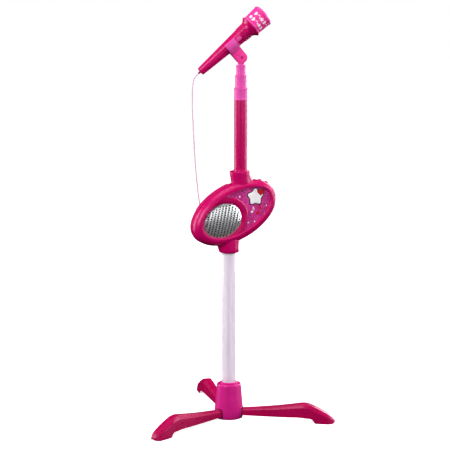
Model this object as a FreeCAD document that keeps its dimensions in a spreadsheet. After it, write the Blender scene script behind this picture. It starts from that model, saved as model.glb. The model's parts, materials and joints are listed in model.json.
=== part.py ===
import FreeCAD, Part
import math
import os

import Sketcher

from FreeCAD import Placement, Rotation, Vector

# A toy microphone on a floor stand. A hub with three plug-in legs carries a clear light tube, a
# tilted oval amplifier, a telescopic mast, a swivelling clip and a hand-held microphone on a cord.
# Millimetres. The origin is the centre of the base on the floor, +Z is up and the amplifier
# faces -Y.

SIZES = {
    # Base
    "leg_reach": 266.0,
    "leg_top": 46.6,
    "leg_root_top": 27.0,
    "leg_root_width": 18.0,
    "leg_knee_width": 32.0,
    "leg_toe_width": 33.0,
    "leg_wall": 2.4,
    "leg_heading": 85.2,
    "hub_height": 86.0,
    "hub_top_radius": 29.4,
    "hub_waist_radius": 35.2,
    "hub_foot_radius": 34.2,
    "hub_ring_radius": 20.8,
    "hub_ring_height": 4.6,
    "hub_wall": 2.6,
    # Light tube
    "tube_radius": 17.5,
    "tube_wall": 1.6,
    "tube_foot": 30.0,
    "tube_top": 447.0,
    "wire_radius": 0.8,
    # Amplifier
    "amp_centre_x": 12.0,
    "amp_centre_z": 510.7,
    "amp_tilt": 25.6,
    "amp_major": 115.5,
    "amp_minor": 67.0,
    "amp_front": 27.0,
    "amp_back": 26.0,
    "shell_wall": 3.0,
    "recess_major": 94.7,
    "recess_minor": 50.2,
    "recess_shift_u": 1.3,
    "recess_shift_v": 2.7,
    "recess_depth": 8.0,
    "bezel_major": 62.9,
    "bezel_minor": 51.3,
    "bezel_height": 5.0,
    "grille_major": 49.8,
    "grille_minor": 40.1,
    "grille_rise": 7.0,
    "grille_u": -39.8,
    "grille_v": 0.2,
    "bezel_u": -34.8,
    "bezel_v": 1.5,
    "panel_thickness": 1.5,
    "upper_neck_radius": 25.3,
    "upper_neck_top": 609.7,
    "lower_neck_radius": 25.8,
    "lower_neck_bottom": 412.8,
    "bar_height": 3.5,
    "bar_width": 14.0,
    "button_radius": 5.2,
    "button_proud": 2.6,
    # Mast
    "mast_x": 31.0,
    "mast_radius": 16.2,
    "mast_wall": 1.6,
    "mast_foot": 568.0,
    "mast_top": 781.4,
    "collar_radius": 16.8,
    "collar_top": 810.1,
    "middle_head_radius": 14.4,
    "middle_head_top": 840.7,
    "middle_radius": 12.6,
    "top_head_radius": 12.0,
    "top_head_top": 865.0,
    "top_radius": 9.6,
    "stop_gap": 0.3,
    "slide_gap": 0.08,
    # Holder
    "stem_radius": 7.7,
    "pivot_height": 882.8,
    "ear_radius": 13.4,
    "ear_thickness": 5.0,
    "ear_gap": 8.6,
    "pin_radius": 3.0,
    "tongue_thickness": 8.0,
    # Microphone
    "mic_rise": 41.0,
    "mic_heading": -11.0,
    "pivot_along": 95.9,
    "pivot_across": 40.0,
    "tail_radius": 10.05,
    "neck_radius": 18.9,
    "neck_along": 148.0,
    "flange_radius": 27.6,
    "flange_along": 160.8,
    "cup_radius": 25.2,
    "rim_radius": 27.4,
    "cup_along": 166.7,
    "rim_along": 200.0,
    "dome_along": 208.9,
    "mic_wall": 1.8,
    "clip_wall": 3.6,
    "clip_start": 82.0,
    "clip_end": 110.5,
    "switch_along": 118.5,
    "switch_length": 12.5,
    "switch_width": 9.4,
    "cord_radius": 1.5,
}

doc = FreeCAD.newDocument("toy_microphone_stand")
sheet = doc.addObject("Spreadsheet::Sheet", "Sizes")


class Size:
    """A length or angle: its value, and the expression on the sheet that drives it."""

    def __init__(self, value, text):
        self.value = float(value)
        self.text = text

    def __add__(self, other):
        other = as_size(other)
        return Size(self.value + other.value, f"({self.text} + {other.text})")

    def __sub__(self, other):
        other = as_size(other)
        return Size(self.value - other.value, f"({self.text} - {other.text})")

    def __mul__(self, other):
        other = as_size(other)
        return Size(self.value * other.value, f"({self.text} * {other.text})")

    def __truediv__(self, other):
        other = as_size(other)
        return Size(self.value / other.value, f"({self.text} / {other.text})")

    def __radd__(self, other):
        return as_size(other) + self

    def __rsub__(self, other):
        return as_size(other) - self

    def __neg__(self):
        return Size(-self.value, f"(0 - {self.text})")

    def __float__(self):
        return self.value


def as_size(number):
    if isinstance(number, Size):
        return number
    return Size(number, f"({float(number):g})")


class Sheet:
    """Gives each named size of the sheet as a Size."""

    def __getattr__(self, name):
        return Size(SIZES[name], f"Sizes.{name}")


for row, (alias, value) in enumerate(SIZES.items(), start=1):
    sheet.set(f"A{row}", alias)
    sheet.set(f"B{row}", f"{value:g}")
    sheet.setAlias(f"B{row}", alias)
doc.recompute()
d = Sheet()
SPAN = 400.0  # longer than any piece that is trimmed by it


# ---------------------------------------------------------------------------- building blocks


def bind(obj, prop, size):
    """Sets a property from a Size and ties it to the sheet."""
    size = as_size(size)
    setattr(obj, prop, size.value)
    if "Sizes." in size.text:
        obj.setExpression(prop, size.text)


def move(obj, x=0, y=0, z=0, turn=None):
    """Places an object, with each coordinate tied to the sheet where it is a driven size."""
    coordinates = [as_size(c) for c in (x, y, z)]
    obj.Placement = Placement(Vector(*[c.value for c in coordinates]), turn or Rotation())
    for letter, size in zip("xyz", coordinates):
        if "Sizes." in size.text:
            obj.setExpression(f"Placement.Base.{letter}", size.text)
    return obj


def cylinder(name, radius, height, x=0, y=0, z=0, turn=None):
    obj = doc.addObject("Part::Cylinder", name)
    bind(obj, "Radius", radius)
    bind(obj, "Height", height)
    return move(obj, x, y, z, turn)


def cone(name, low_radius, high_radius, height, x=0, y=0, z=0, turn=None):
    obj = doc.addObject("Part::Cone", name)
    bind(obj, "Radius1", low_radius)
    bind(obj, "Radius2", high_radius)
    bind(obj, "Height", height)
    return move(obj, x, y, z, turn)


def box(name, length, width, height, x=0, y=0, z=0, turn=None):
    obj = doc.addObject("Part::Box", name)
    bind(obj, "Length", length)
    bind(obj, "Width", width)
    bind(obj, "Height", height)
    return move(obj, x, y, z, turn)


def cut(name, base, *tools):
    """Base without the tools."""
    for i, tool in enumerate(tools):
        obj = doc.addObject("Part::Cut", name if i == len(tools) - 1 else f"{name}_cut{i}")
        obj.Base = base
        obj.Tool = tool
        base = obj
    return base


def fuse(name, *shapes):
    obj = doc.addObject("Part::MultiFuse", name)
    obj.Shapes = list(shapes)
    obj.Refine = False
    return obj


def common(name, *shapes):
    obj = doc.addObject("Part::MultiCommon", name)
    obj.Shapes = list(shapes)
    return obj


def rounded(name, base, radius, chosen):
    """Base with a fillet on the edges that chosen(edge) picks."""
    doc.recompute()
    obj = doc.addObject("Part::Fillet", name)
    obj.Base = base
    size = float(radius)
    obj.Edges = [(i, size, size) for i, e in enumerate(base.Shape.Edges, start=1) if chosen(e)]
    return obj


def outline(name, points, holder=None, plane=None):
    """A closed sketch through points whose coordinates are tied to the sheet."""
    sketch = holder.newObject("Sketcher::SketchObject", name) if holder else None
    sketch = sketch or doc.addObject("Sketcher::SketchObject", name)
    if plane is not None:
        sketch.AttachmentSupport = (plane, [""])
        sketch.MapMode = "FlatFace"
    corners = [(as_size(a), as_size(b)) for a, b in points]
    for i, (a, b) in enumerate(corners):
        nxt = corners[(i + 1) % len(corners)]
        start = Vector(a.value, b.value, 0)
        end = Vector(nxt[0].value, nxt[1].value, 0)
        sketch.addGeometry(Part.LineSegment(start, end), False)
    for i in range(len(corners)):
        sketch.addConstraint(
            Sketcher.Constraint("Coincident", i, 2, (i + 1) % len(corners), 1)
        )
    for i, (a, b) in enumerate(corners):
        for kind, letter, size in (("DistanceX", "a", a), ("DistanceY", "b", b)):
            c = sketch.addConstraint(Sketcher.Constraint(kind, -1, 1, i, 1, size.value))
            label = f"{letter}{i}"
            sketch.renameConstraint(c, label)
            if "Sizes." in size.text:
                sketch.setExpression(f"Constraints.{label}", size.text)
    return sketch


def plane_of(body, role):
    return next(f for f in body.Origin.OriginFeatures if f.Role == role)


def turned(name, points):
    """A body turned about its own Z axis from (radius, height) points."""
    body = doc.addObject("PartDesign::Body", name)
    sketch = outline(f"{name}_profile", points, body, plane_of(body, "XZ_Plane"))
    revolution = body.newObject("PartDesign::Revolution", f"{name}_turn")
    revolution.Profile = sketch
    revolution.ReferenceAxis = (sketch, ["V_Axis"])
    revolution.Angle = 360.0
    body.Tip = revolution
    return body


def padded(name, points, height, role="XY_Plane"):
    """A body with an outline pulled out to a height, both ways about its plane."""
    body = doc.addObject("PartDesign::Body", name)
    sketch = outline(f"{name}_profile", points, body, plane_of(body, role))
    pad = body.newObject("PartDesign::Pad", f"{name}_pad")
    pad.Profile = sketch
    bind(pad, "Length", height)
    pad.Midplane = True
    body.Tip = pad
    return body


def oval(name, major, minor, low, high, u=0, v=0):
    """An elliptic prism in the amplifier's own frame, from height low to height high."""
    low = as_size(low)
    high = as_size(high)
    ellipse = doc.addObject("Part::Ellipse", f"{name}_outline")
    bind(ellipse, "MajorRadius", major)
    bind(ellipse, "MinorRadius", minor)
    move(ellipse, u, v, low)
    prism = doc.addObject("Part::Extrusion", name)
    prism.Base = ellipse
    prism.DirMode = "Custom"
    prism.Dir = Vector(0, 0, 1)
    prism.Solid = True
    bind(prism, "LengthFwd", high - low)
    return prism


def cushion(name, major, minor, levels):
    """An oval block whose edge follows levels, each a height and how far it lies inside."""
    sections = []
    for i, (height, inset) in enumerate(levels):
        ellipse = doc.addObject("Part::Ellipse", f"{name}_level_{i}")
        bind(ellipse, "MajorRadius", major - inset)
        bind(ellipse, "MinorRadius", minor - inset)
        sections.append(move(ellipse, z=height))
    block = doc.addObject("Part::Loft", name)
    block.Sections = sections
    block.Solid = True
    block.Ruled = True
    return block


kept = []


def keep(obj, label, frame=None):
    """Names a finished sub-part, and carries it from its own frame to the object's."""
    if frame is not None and obj.ExpressionEngine:
        obj = group(f"{label}_placed", [obj])
    obj.Label = label
    if frame is not None:
        obj.Placement = frame.multiply(obj.Placement)
    kept.append(obj)
    return obj


def group(name, solids):
    """Identical small pieces as one sub-part."""
    obj = doc.addObject("Part::Compound", name)
    obj.Links = list(solids)
    return obj


def is_level(edge, height, axis=2):
    """Whether all of an edge lies at one height."""
    bounds = edge.BoundBox
    low = (bounds.XMin, bounds.YMin, bounds.ZMin)[axis]
    high = (bounds.XMax, bounds.YMax, bounds.ZMax)[axis]
    return abs(low - float(height)) < 0.01 and abs(high - float(height)) < 0.01


def screw(name, length, head_radius=2.8, radius=1.3):
    """A pan-head screw that stands on its head, with a crossed recess; its shank points up."""
    head = cylinder(f"{name}_head", head_radius, 1.6)
    shank = cylinder(f"{name}_shank", radius, length, z=1.6)
    slot_a = box(f"{name}_slot_a", 3.2, 0.7, 0.8, x=-1.6, y=-0.35)
    slot_b = box(f"{name}_slot_b", 0.7, 3.2, 0.8, x=-0.35, y=-1.6)
    return cut(name, fuse(f"{name}_blank", head, shank), slot_a, slot_b)


# ---------------------------------------------------------------------------- frames

AMP_TURN = Rotation(Vector(0, 1, 0), -float(d.amp_tilt)) * Rotation(Vector(1, 0, 0), 90)
AMP = Placement(Vector(float(d.amp_centre_x), 0, float(d.amp_centre_z)), AMP_TURN)

rise = math.radians(float(d.mic_rise))
heading = math.radians(float(d.mic_heading))
LEVEL = Vector(math.cos(heading), math.sin(heading), 0)
ALONG = LEVEL * math.cos(rise) + Vector(0, 0, math.sin(rise))
ACROSS = LEVEL * math.sin(rise) - Vector(0, 0, math.cos(rise))
SIDE = ACROSS.cross(ALONG)
PIVOT = Vector(float(d.mast_x), 0, float(d.pivot_height))
TAIL = PIVOT - ALONG * float(d.pivot_along) - ACROSS * float(d.pivot_across)
# The microphone's own frame: Z from the tail to the head, X towards the holder's pivot.
MIC_TURN = Rotation(ACROSS, ALONG.cross(ACROSS), ALONG, "ZXY")
MIC = Placement(TAIL, MIC_TURN)


def radius_at(along):
    """The handle's outside radius at a distance from the tail."""
    slope = (d.neck_radius - d.tail_radius) / d.neck_along
    return d.tail_radius + slope * along


# ---------------------------------------------------------------------------- base


def build_leg(label, angle):
    """A hollow arched leg along +X, turned to its angle about Z."""
    socket = 21.0  # where the leg's plug ends inside the hub
    knee = d.leg_reach - 78
    heel = d.leg_reach - 57
    side = [
        (socket, 7.5),
        (socket, d.leg_root_top - 2),
        (60, d.leg_root_top + 1),
        (knee - 50, d.leg_top - 7),
        (knee - 6, d.leg_top - 0.4),
        (knee + 4, d.leg_top),
        (knee + 16, d.leg_top - 3),
        (d.leg_reach - 16, 21),
        (d.leg_reach - 4, 14),
        (d.leg_reach, 7),
        (d.leg_reach - 3, 1.5),
        (d.leg_reach - 11, 0),
        (heel + 9, 0),
        (heel + 7, 3),
        (heel, 11.5),
        (heel - 12, 12.5),
        (heel - 70, 11),
    ]
    wall = d.leg_wall
    inner = [
        (socket - 1, 6),
        (socket - 1, d.leg_root_top - 2 - wall),
        (60, d.leg_root_top + 1 - wall),
        (knee - 50, d.leg_top - 7 - wall),
        (knee + 3, d.leg_top - wall),
        (knee + 15, d.leg_top - 3 - wall),
        (d.leg_reach - 18, 19 - wall + 0.6),
        (d.leg_reach - 18, 4),
        (heel + 13, 4),
        (heel + 9, 6),
        (heel, 9),
        (heel - 70, 8),
    ]
    half_root = d.leg_root_width / 2
    half_knee = d.leg_knee_width / 2
    half_toe = d.leg_toe_width / 2
    plan = [
        (socket, -half_root),
        (36, -half_root),
        (knee, -half_knee),
        (d.leg_reach - 26, -half_toe),
        (d.leg_reach - 10, -half_toe + 3.5),
        (d.leg_reach - 1.5, -half_toe + 9.5),
        (d.leg_reach, -4),
        (d.leg_reach, 4),
        (d.leg_reach - 1.5, half_toe - 9.5),
        (d.leg_reach - 10, half_toe - 3.5),
        (d.leg_reach - 26, half_toe),
        (knee, half_knee),
        (36, half_root),
        (socket, half_root),
    ]
    plan_inner = [
        (socket - 1, -half_root + wall),
        (36, -half_root + wall),
        (knee, -half_knee + wall),
        (d.leg_reach - 17, -half_toe + 4.5),
        (d.leg_reach - 17, half_toe - 4.5),
        (knee, half_knee - wall),
        (36, half_root - wall),
        (socket - 1, half_root - wall),
    ]
    blank = common(
        f"{label}_blank",
        padded(f"{label}_side", side, 80, "XZ_Plane"),
        padded(f"{label}_plan", plan, 200),
    )
    hollow = common(
        f"{label}_hollow",
        padded(f"{label}_inner_side", inner, 80, "XZ_Plane"),
        padded(f"{label}_inner_plan", plan_inner, 200),
    )
    leg = cut(f"{label}_shell", blank, hollow)
    return keep(leg, label, Placement(Vector(), Rotation(Vector(0, 0, 1), angle)))


def build_base():
    sleeve = d.tube_radius + 0.1
    hub = turned(
        "hub_turned",
        [
            (d.hub_foot_radius - 1.5, 0),
            (d.hub_foot_radius, 2),
            (d.hub_waist_radius, 19),
            (d.hub_top_radius + 0.6, d.hub_height - 3),
            (d.hub_top_radius - 1.4, d.hub_height),
            (d.hub_ring_radius + 0.4, d.hub_height),
            (d.hub_ring_radius, d.hub_height + d.hub_ring_height - 0.8),
            (d.hub_ring_radius - 0.8, d.hub_height + d.hub_ring_height),
            (sleeve, d.hub_height + d.hub_ring_height),
            (sleeve, d.tube_foot),
            (sleeve - 3, d.tube_foot),
            (sleeve - 3, d.tube_foot - 2),
            (sleeve + 2.4, d.tube_foot - 2),
            (sleeve + 2.4, d.hub_height - 14),
            (d.hub_top_radius - d.hub_wall, d.hub_height - 14),
            (d.hub_waist_radius - d.hub_wall, 19),
            (d.hub_foot_radius - d.hub_wall, 5),
            (d.hub_foot_radius - d.hub_wall, 0),
        ],
    )
    slots = []
    for i, angle in enumerate(LEG_ANGLES):
        turn = Rotation(Vector(0, 0, 1), angle)
        corner = turn.multVec(Vector(26, -float(d.leg_root_width) / 2 - 0.1, -1))
        slots.append(
            box(
                f"hub_slot_{i}",
                14,
                d.leg_root_width + 0.2,
                d.leg_root_top + 1.4,
                x=corner.x,
                y=corner.y,
                z=corner.z,
                turn=turn,
            )
        )
    plate = cylinder("cover_plate", d.hub_foot_radius - d.hub_wall - 0.2, 3.6)
    bosses = []
    pilots = []
    holes = []
    screws = []
    for i, angle in enumerate(LEG_ANGLES):
        spot = Rotation(Vector(0, 0, 1), angle + 60).multVec(Vector(22.5, 0, 0))
        bosses.append(cylinder(f"hub_boss_{i}", 3.6, 36, x=spot.x, y=spot.y, z=3.7))
        pilots.append(cylinder(f"hub_pilot_{i}", 1.3, 12, x=spot.x, y=spot.y, z=0))
        holes.append(cylinder(f"cover_hole_{i}", 1.4, 8, x=spot.x, y=spot.y, z=-1))
        holes.append(cylinder(f"cover_sink_{i}", 3.2, 3.0, x=spot.x, y=spot.y, z=-1))
        screws.append(move(screw(f"base_screw_{i}", 9), spot.x, spot.y, 0.4))
    bossed = fuse("hub_bossed", hub, *bosses)
    tube_way = cylinder("hub_tube_way", sleeve, 30, z=d.tube_foot)
    keep(cut("hub_slotted", bossed, tube_way, *pilots, *slots), "base_hub")
    keep(cut("cover_drilled", plate, *holes), "base_cover")
    keep(group("base_screw_set", screws), "base_screws")
    for label, angle in zip(("leg_right", "leg_rear", "leg_left"), LEG_ANGLES):
        build_leg(label, angle)


LEG_ANGLES = [float(d.leg_heading) + turn for turn in (-120, 0, 120)]


# ---------------------------------------------------------------------------- light tube


def build_light_tube():
    bore = d.tube_radius - d.tube_wall
    length = d.tube_top - d.tube_foot
    outside = cylinder("tube_outside", d.tube_radius, length, z=d.tube_foot)
    inside = cylinder("tube_inside", bore, length + 2, z=d.tube_foot - 1)
    keep(cut("tube_hollow", outside, inside), "light_tube")

    seat = turned(
        "tube_seat_turned",
        [
            (d.wire_radius, 58),
            (bore - 0.05, 58),
            (bore - 0.05, 91),
            (bore - 3, 94),
            (4, 94),
            (3, 90),
            (d.wire_radius, 90),
        ],
    )
    keep(seat, "tube_reflector")
    low = 58.0
    high = 449.0
    lamp_height = 177.0
    keep(cylinder("wire_core", d.wire_radius, high - low, z=low), "light_wire")
    lamp = turned(
        "lamp_turned",
        [
            (d.wire_radius, lamp_height - 5),
            (3.2, lamp_height - 5),
            (3.2, lamp_height + 1.5),
            (2.6, lamp_height + 4),
            (d.wire_radius, lamp_height + 5),
        ],
    )
    keep(lamp, "tube_lamp")


# ---------------------------------------------------------------------------- amplifier


def upright(name, radius, low, high, x):
    """A cylinder about a vertical line of the object, in the amplifier's own frame."""
    obj = cylinder(name, radius, high - low)
    place = Placement(Vector(float(as_size(x)), 0, float(as_size(low))), Rotation())
    obj.Placement = AMP.inverse().multiply(place)
    return obj


# Where the screws that join the two shells stand, as (u, v) in the amplifier's own frame.
POSTS = [(-88, 0), (-5, -43), (0, 43), (90, 6), (50, -39)]
SCREW_SEAT = -18.0
BUTTONS = [(93.3, 39.5), (106.0, 26.6)]
BUTTON_LEVEL = 5.2
TRAY = (8.0, -26.0, 62.0, 48.0)  # the battery opening's corner and its size
GROMMET = (-30.2, -5.2)


def facing_out(u, v):
    """The turn that points Z out of the housing's side wall at (u, v)."""
    out = Vector(u / float(d.amp_major) ** 2, v / float(d.amp_minor) ** 2, 0)
    return Rotation(Vector(0, 0, 1), out), out.normalize()


LAMP = (-1.7, 48.6)


def build_cavity():
    """The space inside both shells, around the well that the face sits in."""
    wall = d.shell_wall
    inner_edge = [
        (wall - d.amp_back, 11),
        (9 - d.amp_back, 3),
        (16 - d.amp_back, 0),
        (d.amp_front - 18, 0),
        (d.amp_front - 10, 2.5),
        (d.amp_front - wall - 1, 10),
    ]
    inner = cushion("cavity_rounded", d.amp_major - wall, d.amp_minor - wall, inner_edge)
    island = oval(
        "recess_island",
        d.recess_major + wall,
        d.recess_minor + wall,
        d.amp_front - d.recess_depth - wall,
        40,
        d.recess_shift_u,
        d.recess_shift_v,
    )
    return cut("cavity", inner, island)


def build_shells():
    edge = [
        (-d.amp_back, 16),
        (3 - d.amp_back, 7.5),
        (8 - d.amp_back, 2.5),
        (15 - d.amp_back, 0),
        (d.amp_front - 17, 0),
        (d.amp_front - 9, 2),
        (d.amp_front - 3.5, 7),
        (d.amp_front - 0.8, 12.5),
        (d.amp_front, 17),
    ]
    ways = []
    for i, (u, v) in enumerate(BUTTONS):
        turn, out = facing_out(u, v)
        hole = Vector(u, v, BUTTON_LEVEL) - out * 6
        room = Vector(u, v, BUTTON_LEVEL) - out * 14
        ways.append(cylinder(f"button_hole_{i}", d.button_radius - 0.3, 14, *hole, turn))
        ways.append(cylinder(f"button_room_{i}", d.button_radius + 0.9, 10.2, *room, turn))
    pillow = cut(
        "housing_holed", cushion("housing_pillow", d.amp_major, d.amp_minor, edge), *ways
    )
    upper_neck = upright("upper_neck", d.upper_neck_radius, 545, d.upper_neck_top, d.mast_x)
    lower_neck = upright("lower_neck", d.lower_neck_radius, d.lower_neck_bottom, 470, 0)
    posts = [
        cylinder(f"post_{i}", 4.0, 41.5, x=u, y=v, z=-24.5) for i, (u, v) in enumerate(POSTS)
    ]
    cavity = build_cavity()
    bores = [
        upright("mast_bore", d.mast_radius, 540, 640, d.mast_x),
        upright("tube_bore", d.tube_radius, 400, 470, 0),
    ]
    pilots = [
        cylinder(f"pilot_{i}", 1.3, 27, x=u, y=v, z=-19) for i, (u, v) in enumerate(POSTS)
    ]
    floor = d.amp_front - d.recess_depth
    face = [
        oval("recess", d.recess_major, d.recess_minor, floor, 40,
             d.recess_shift_u, d.recess_shift_v),
        oval("speaker_mouth", d.grille_major - 6, d.grille_minor - 6, 5, 40,
             d.grille_u, d.grille_v),
        cylinder("lamp_hole", 1.9, 20, x=LAMP[0], y=LAMP[1], z=10),
    ]
    tray_u, tray_v, tray_long, tray_wide = TRAY
    rear = [
        box("battery_opening", tray_long, tray_wide, 6, tray_u, tray_v, -28),
        cylinder("grommet_hole", 3.5, 8, x=GROMMET[0], y=GROMMET[1], z=-29),
    ]
    for i, (u, v) in enumerate(POSTS):
        rear.append(cylinder(f"sink_{i}", 3.1, 12, x=u, y=v, z=SCREW_SEAT - 12))
    for label, level, openings in (("front_shell", 0, face), ("rear_shell", -SPAN / 2, rear)):
        half = box(f"{label}_side", SPAN, SPAN, SPAN / 2, -SPAN / 2, -SPAN / 2, level)
        halves = [
            common(f"{label}_{part.Name}", part, half) for part in (pillow, upper_neck, lower_neck)
        ]
        hollow = cut(f"{label}_hollow", fuse(f"{label}_solid", *halves), cavity, *bores)
        feet = [common(f"{label}_{post.Name}", post, half) for post in posts]
        posted = fuse(f"{label}_posted", hollow, *feet)
        keep(cut(f"{label}_drilled", posted, *pilots, *openings), label, AMP)


def build_face():
    floor = d.amp_front - d.recess_depth
    fit = 0.25
    shift = {"u": d.recess_shift_u, "v": d.recess_shift_v}
    inside = {"major": d.recess_major - fit, "minor": d.recess_minor - fit, **shift}
    ring = common(
        "bezel_blank",
        oval("bezel_oval", d.bezel_major, d.bezel_minor, floor, floor + d.bezel_height,
             d.bezel_u, d.bezel_v),
        oval("bezel_limit", low=floor, high=40, **inside),
    )
    window = oval(
        "bezel_window", d.grille_major + 0.6, d.grille_minor + 0.6, floor - 1, 40,
        d.grille_u, d.grille_v
    )
    keep(cut("bezel_ring", ring, window), "speaker_bezel", AMP)

    plate = oval("panel_oval", low=floor, high=floor + d.panel_thickness, **inside)
    clear = oval(
        "panel_cut", d.bezel_major + fit, d.bezel_minor + fit, floor - 1, 40, d.bezel_u, d.bezel_v
    )
    peep = cylinder("panel_peep", 1.9, 10, x=LAMP[0], y=LAMP[1], z=floor - 1)
    keep(cut("panel_crescent", plate, clear, peep), "graphic_panel", AMP)

    lamp = turned("lamp_dome", [(0, 10), (1.8, 10), (1.8, 20.6), (1.2, 21.4), (0, 21.8)])
    lamp.Placement = Placement(Vector(*LAMP, 0), Rotation())
    keep(lamp, "power_lamp", AMP)

    domes = []
    for name, less in (("grille_outer", 0.0), ("grille_inner", 1.2)):
        dome = doc.addObject("Part::Ellipsoid", name)
        bind(dome, "Radius1", d.grille_rise + 1 - less)
        bind(dome, "Radius2", d.grille_major - less)
        bind(dome, "Radius3", d.grille_minor - less)
        dome.Angle1 = 0
        dome.Angle2 = 90
        domes.append(move(dome, d.grille_u, d.grille_v, floor))
    limit = oval("grille_limit", low=floor, high=40, **inside)
    keep(common("grille_fitted", cut("grille_dome", *domes), limit), "speaker_grille", AMP)

    frame = turned(
        "basket_turned",
        [
            (33.5, 16), (37, 16), (37, 14), (34, 14), (18, 1), (11, 1), (11, 3), (17, 3),
        ],
    )
    cone_shape = turned(
        "cone_turned",
        [(0, 5.2), (7, 5.2), (31.5, 15.9), (30, 15.9), (7, 6.4), (5.5, 8.6), (0, 9.6)],
    )
    magnet = cylinder("magnet_drum", 18, 13, z=-12)
    for piece, label in (
        (frame, "speaker_basket"),
        (cone_shape, "speaker_cone"),
        (magnet, "speaker_magnet"),
    ):
        move(piece, d.grille_u, d.grille_v, piece.Placement.Base.z)
        keep(piece, label, AMP)


def build_inside():
    tray_u, tray_v, tray_long, tray_wide = TRAY
    middle_v = tray_v + tray_wide / 2
    outside = box("tray_outside", tray_long + 4, tray_wide + 4, 19, tray_u - 2, tray_v - 2, -22.9)
    inside = box("tray_inside", tray_long, tray_wide, 17.4, tray_u, tray_v, -23.2)
    keep(cut("tray_cup", outside, inside), "battery_tray", AMP)
    cells = []
    contacts = []
    for i in (-1, 0, 1):
        v = middle_v + i * 15.2
        lay = Rotation(Vector(0, 1, 0), 90)
        start = tray_u + 5.5
        can = cylinder(f"cell_can_{i + 1}", 7.1, 49, start, v, -14.4, lay)
        nub = cylinder(f"cell_nub_{i + 1}", 2.7, 1.5, start + 49, v, -14.4, lay)
        cells.append(fuse(f"cell_{i + 1}", can, nub))
        spring = cone(f"contact_spring_{i + 1}", 5, 3, 4.8, tray_u + 0.6, v, -14.4, lay)
        contacts.append(spring)
        contacts.append(box(f"contact_plate_{i + 1}", 0.6, 11, 11, tray_u, v - 5.5, -20))
        contacts.append(
            box(f"contact_far_{i + 1}", 0.6, 11, 11, tray_u + tray_long - 0.6, v - 5.5, -20)
        )
    keep(group("cell_set", cells), "battery_cells", AMP)
    keep(group("contact_set", contacts), "battery_contacts", AMP)

    door = box(
        "door_plate", tray_long - 0.4, tray_wide - 0.4, 2.3, tray_u + 0.2, tray_v + 0.2, -26
    )
    screw_u = tray_u + tray_long - 4.5
    door_hole = cylinder("door_hole", 1.4, 8, x=screw_u, y=middle_v, z=-28)
    door_sink = cylinder("door_sink", 2.6, 2, x=screw_u, y=middle_v, z=-27.2)
    keep(cut("door_drilled", door, door_hole, door_sink), "battery_door", AMP)
    lock = move(screw("door_screw_blank", 3.6, head_radius=2.5), screw_u, middle_v, -26.8)
    keep(lock, "battery_door_screw", AMP)
    joining = [
        move(screw(f"shell_screw_{i}", 26, head_radius=3.0), u, v, SCREW_SEAT - 1.6)
        for i, (u, v) in enumerate(POSTS)
    ]
    keep(group("shell_screw_set", joining), "shell_screws", AMP)

    board = box("board_plate", 70, 50, 1.6, 6, -30, -2.4)
    keep(board, "circuit_board", AMP)
    chips = [
        box("chip_driver", 12, 9, 2.4, 20, -10, -0.8),
        box("chip_sound", 9, 9, 1.8, 44, -20, -0.8),
        cylinder("capacitor_a", 4, 9, 34, 8, -0.8),
        cylinder("capacitor_b", 3, 7, 46, 6, -0.8),
        box("connector", 8, 5, 5, 60, 8, -0.8),
    ]
    keep(group("chip_set", chips), "board_components", AMP)


def build_trim():
    """The raised bar along the housing's edge, the two push buttons and the cord's entry."""
    low = -d.bar_width * 0.64
    outer = oval("bar_outer", d.amp_major + d.bar_height, d.amp_minor + d.bar_height,
                 low, low + d.bar_width)
    inner = oval("bar_inner", d.amp_major, d.amp_minor, low - 1, low + d.bar_width + 1)
    window = box("bar_window", 101, 80, 40, -82, 20, -20)
    strip = common("bar_strip", cut("bar_band", outer, inner), window)
    keep(strip, "edge_bar", AMP)

    for i, (u, v) in enumerate(BUTTONS):
        turn, out = facing_out(u, v)
        cap = turned(
            f"button_{i}_turned",
            [
                (0, -5.4),
                (d.button_radius + 0.6, -5.4),
                (d.button_radius + 0.6, -4.0),
                (d.button_radius - 0.6, -4.0),
                (d.button_radius - 0.6, d.button_proud - 1),
                (d.button_radius - 1.6, d.button_proud),
                (0, d.button_proud),
            ],
        )
        cap.Placement = Placement(Vector(u, v, BUTTON_LEVEL), turn)
        keep(cap, ("play_button", "volume_button")[i], AMP)

    grommet = turned(
        "grommet_turned",
        [(0, -37.6), (2.3, -37.6), (3.6, -28), (5.2, -27.6), (5.2, -26), (3.5, -26), (3.5, -22),
         (0, -22)],
    )
    grommet.Placement = Placement(Vector(*GROMMET, 0), Rotation())
    keep(grommet, "cord_grommet", AMP)


# ---------------------------------------------------------------------------- mast


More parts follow.
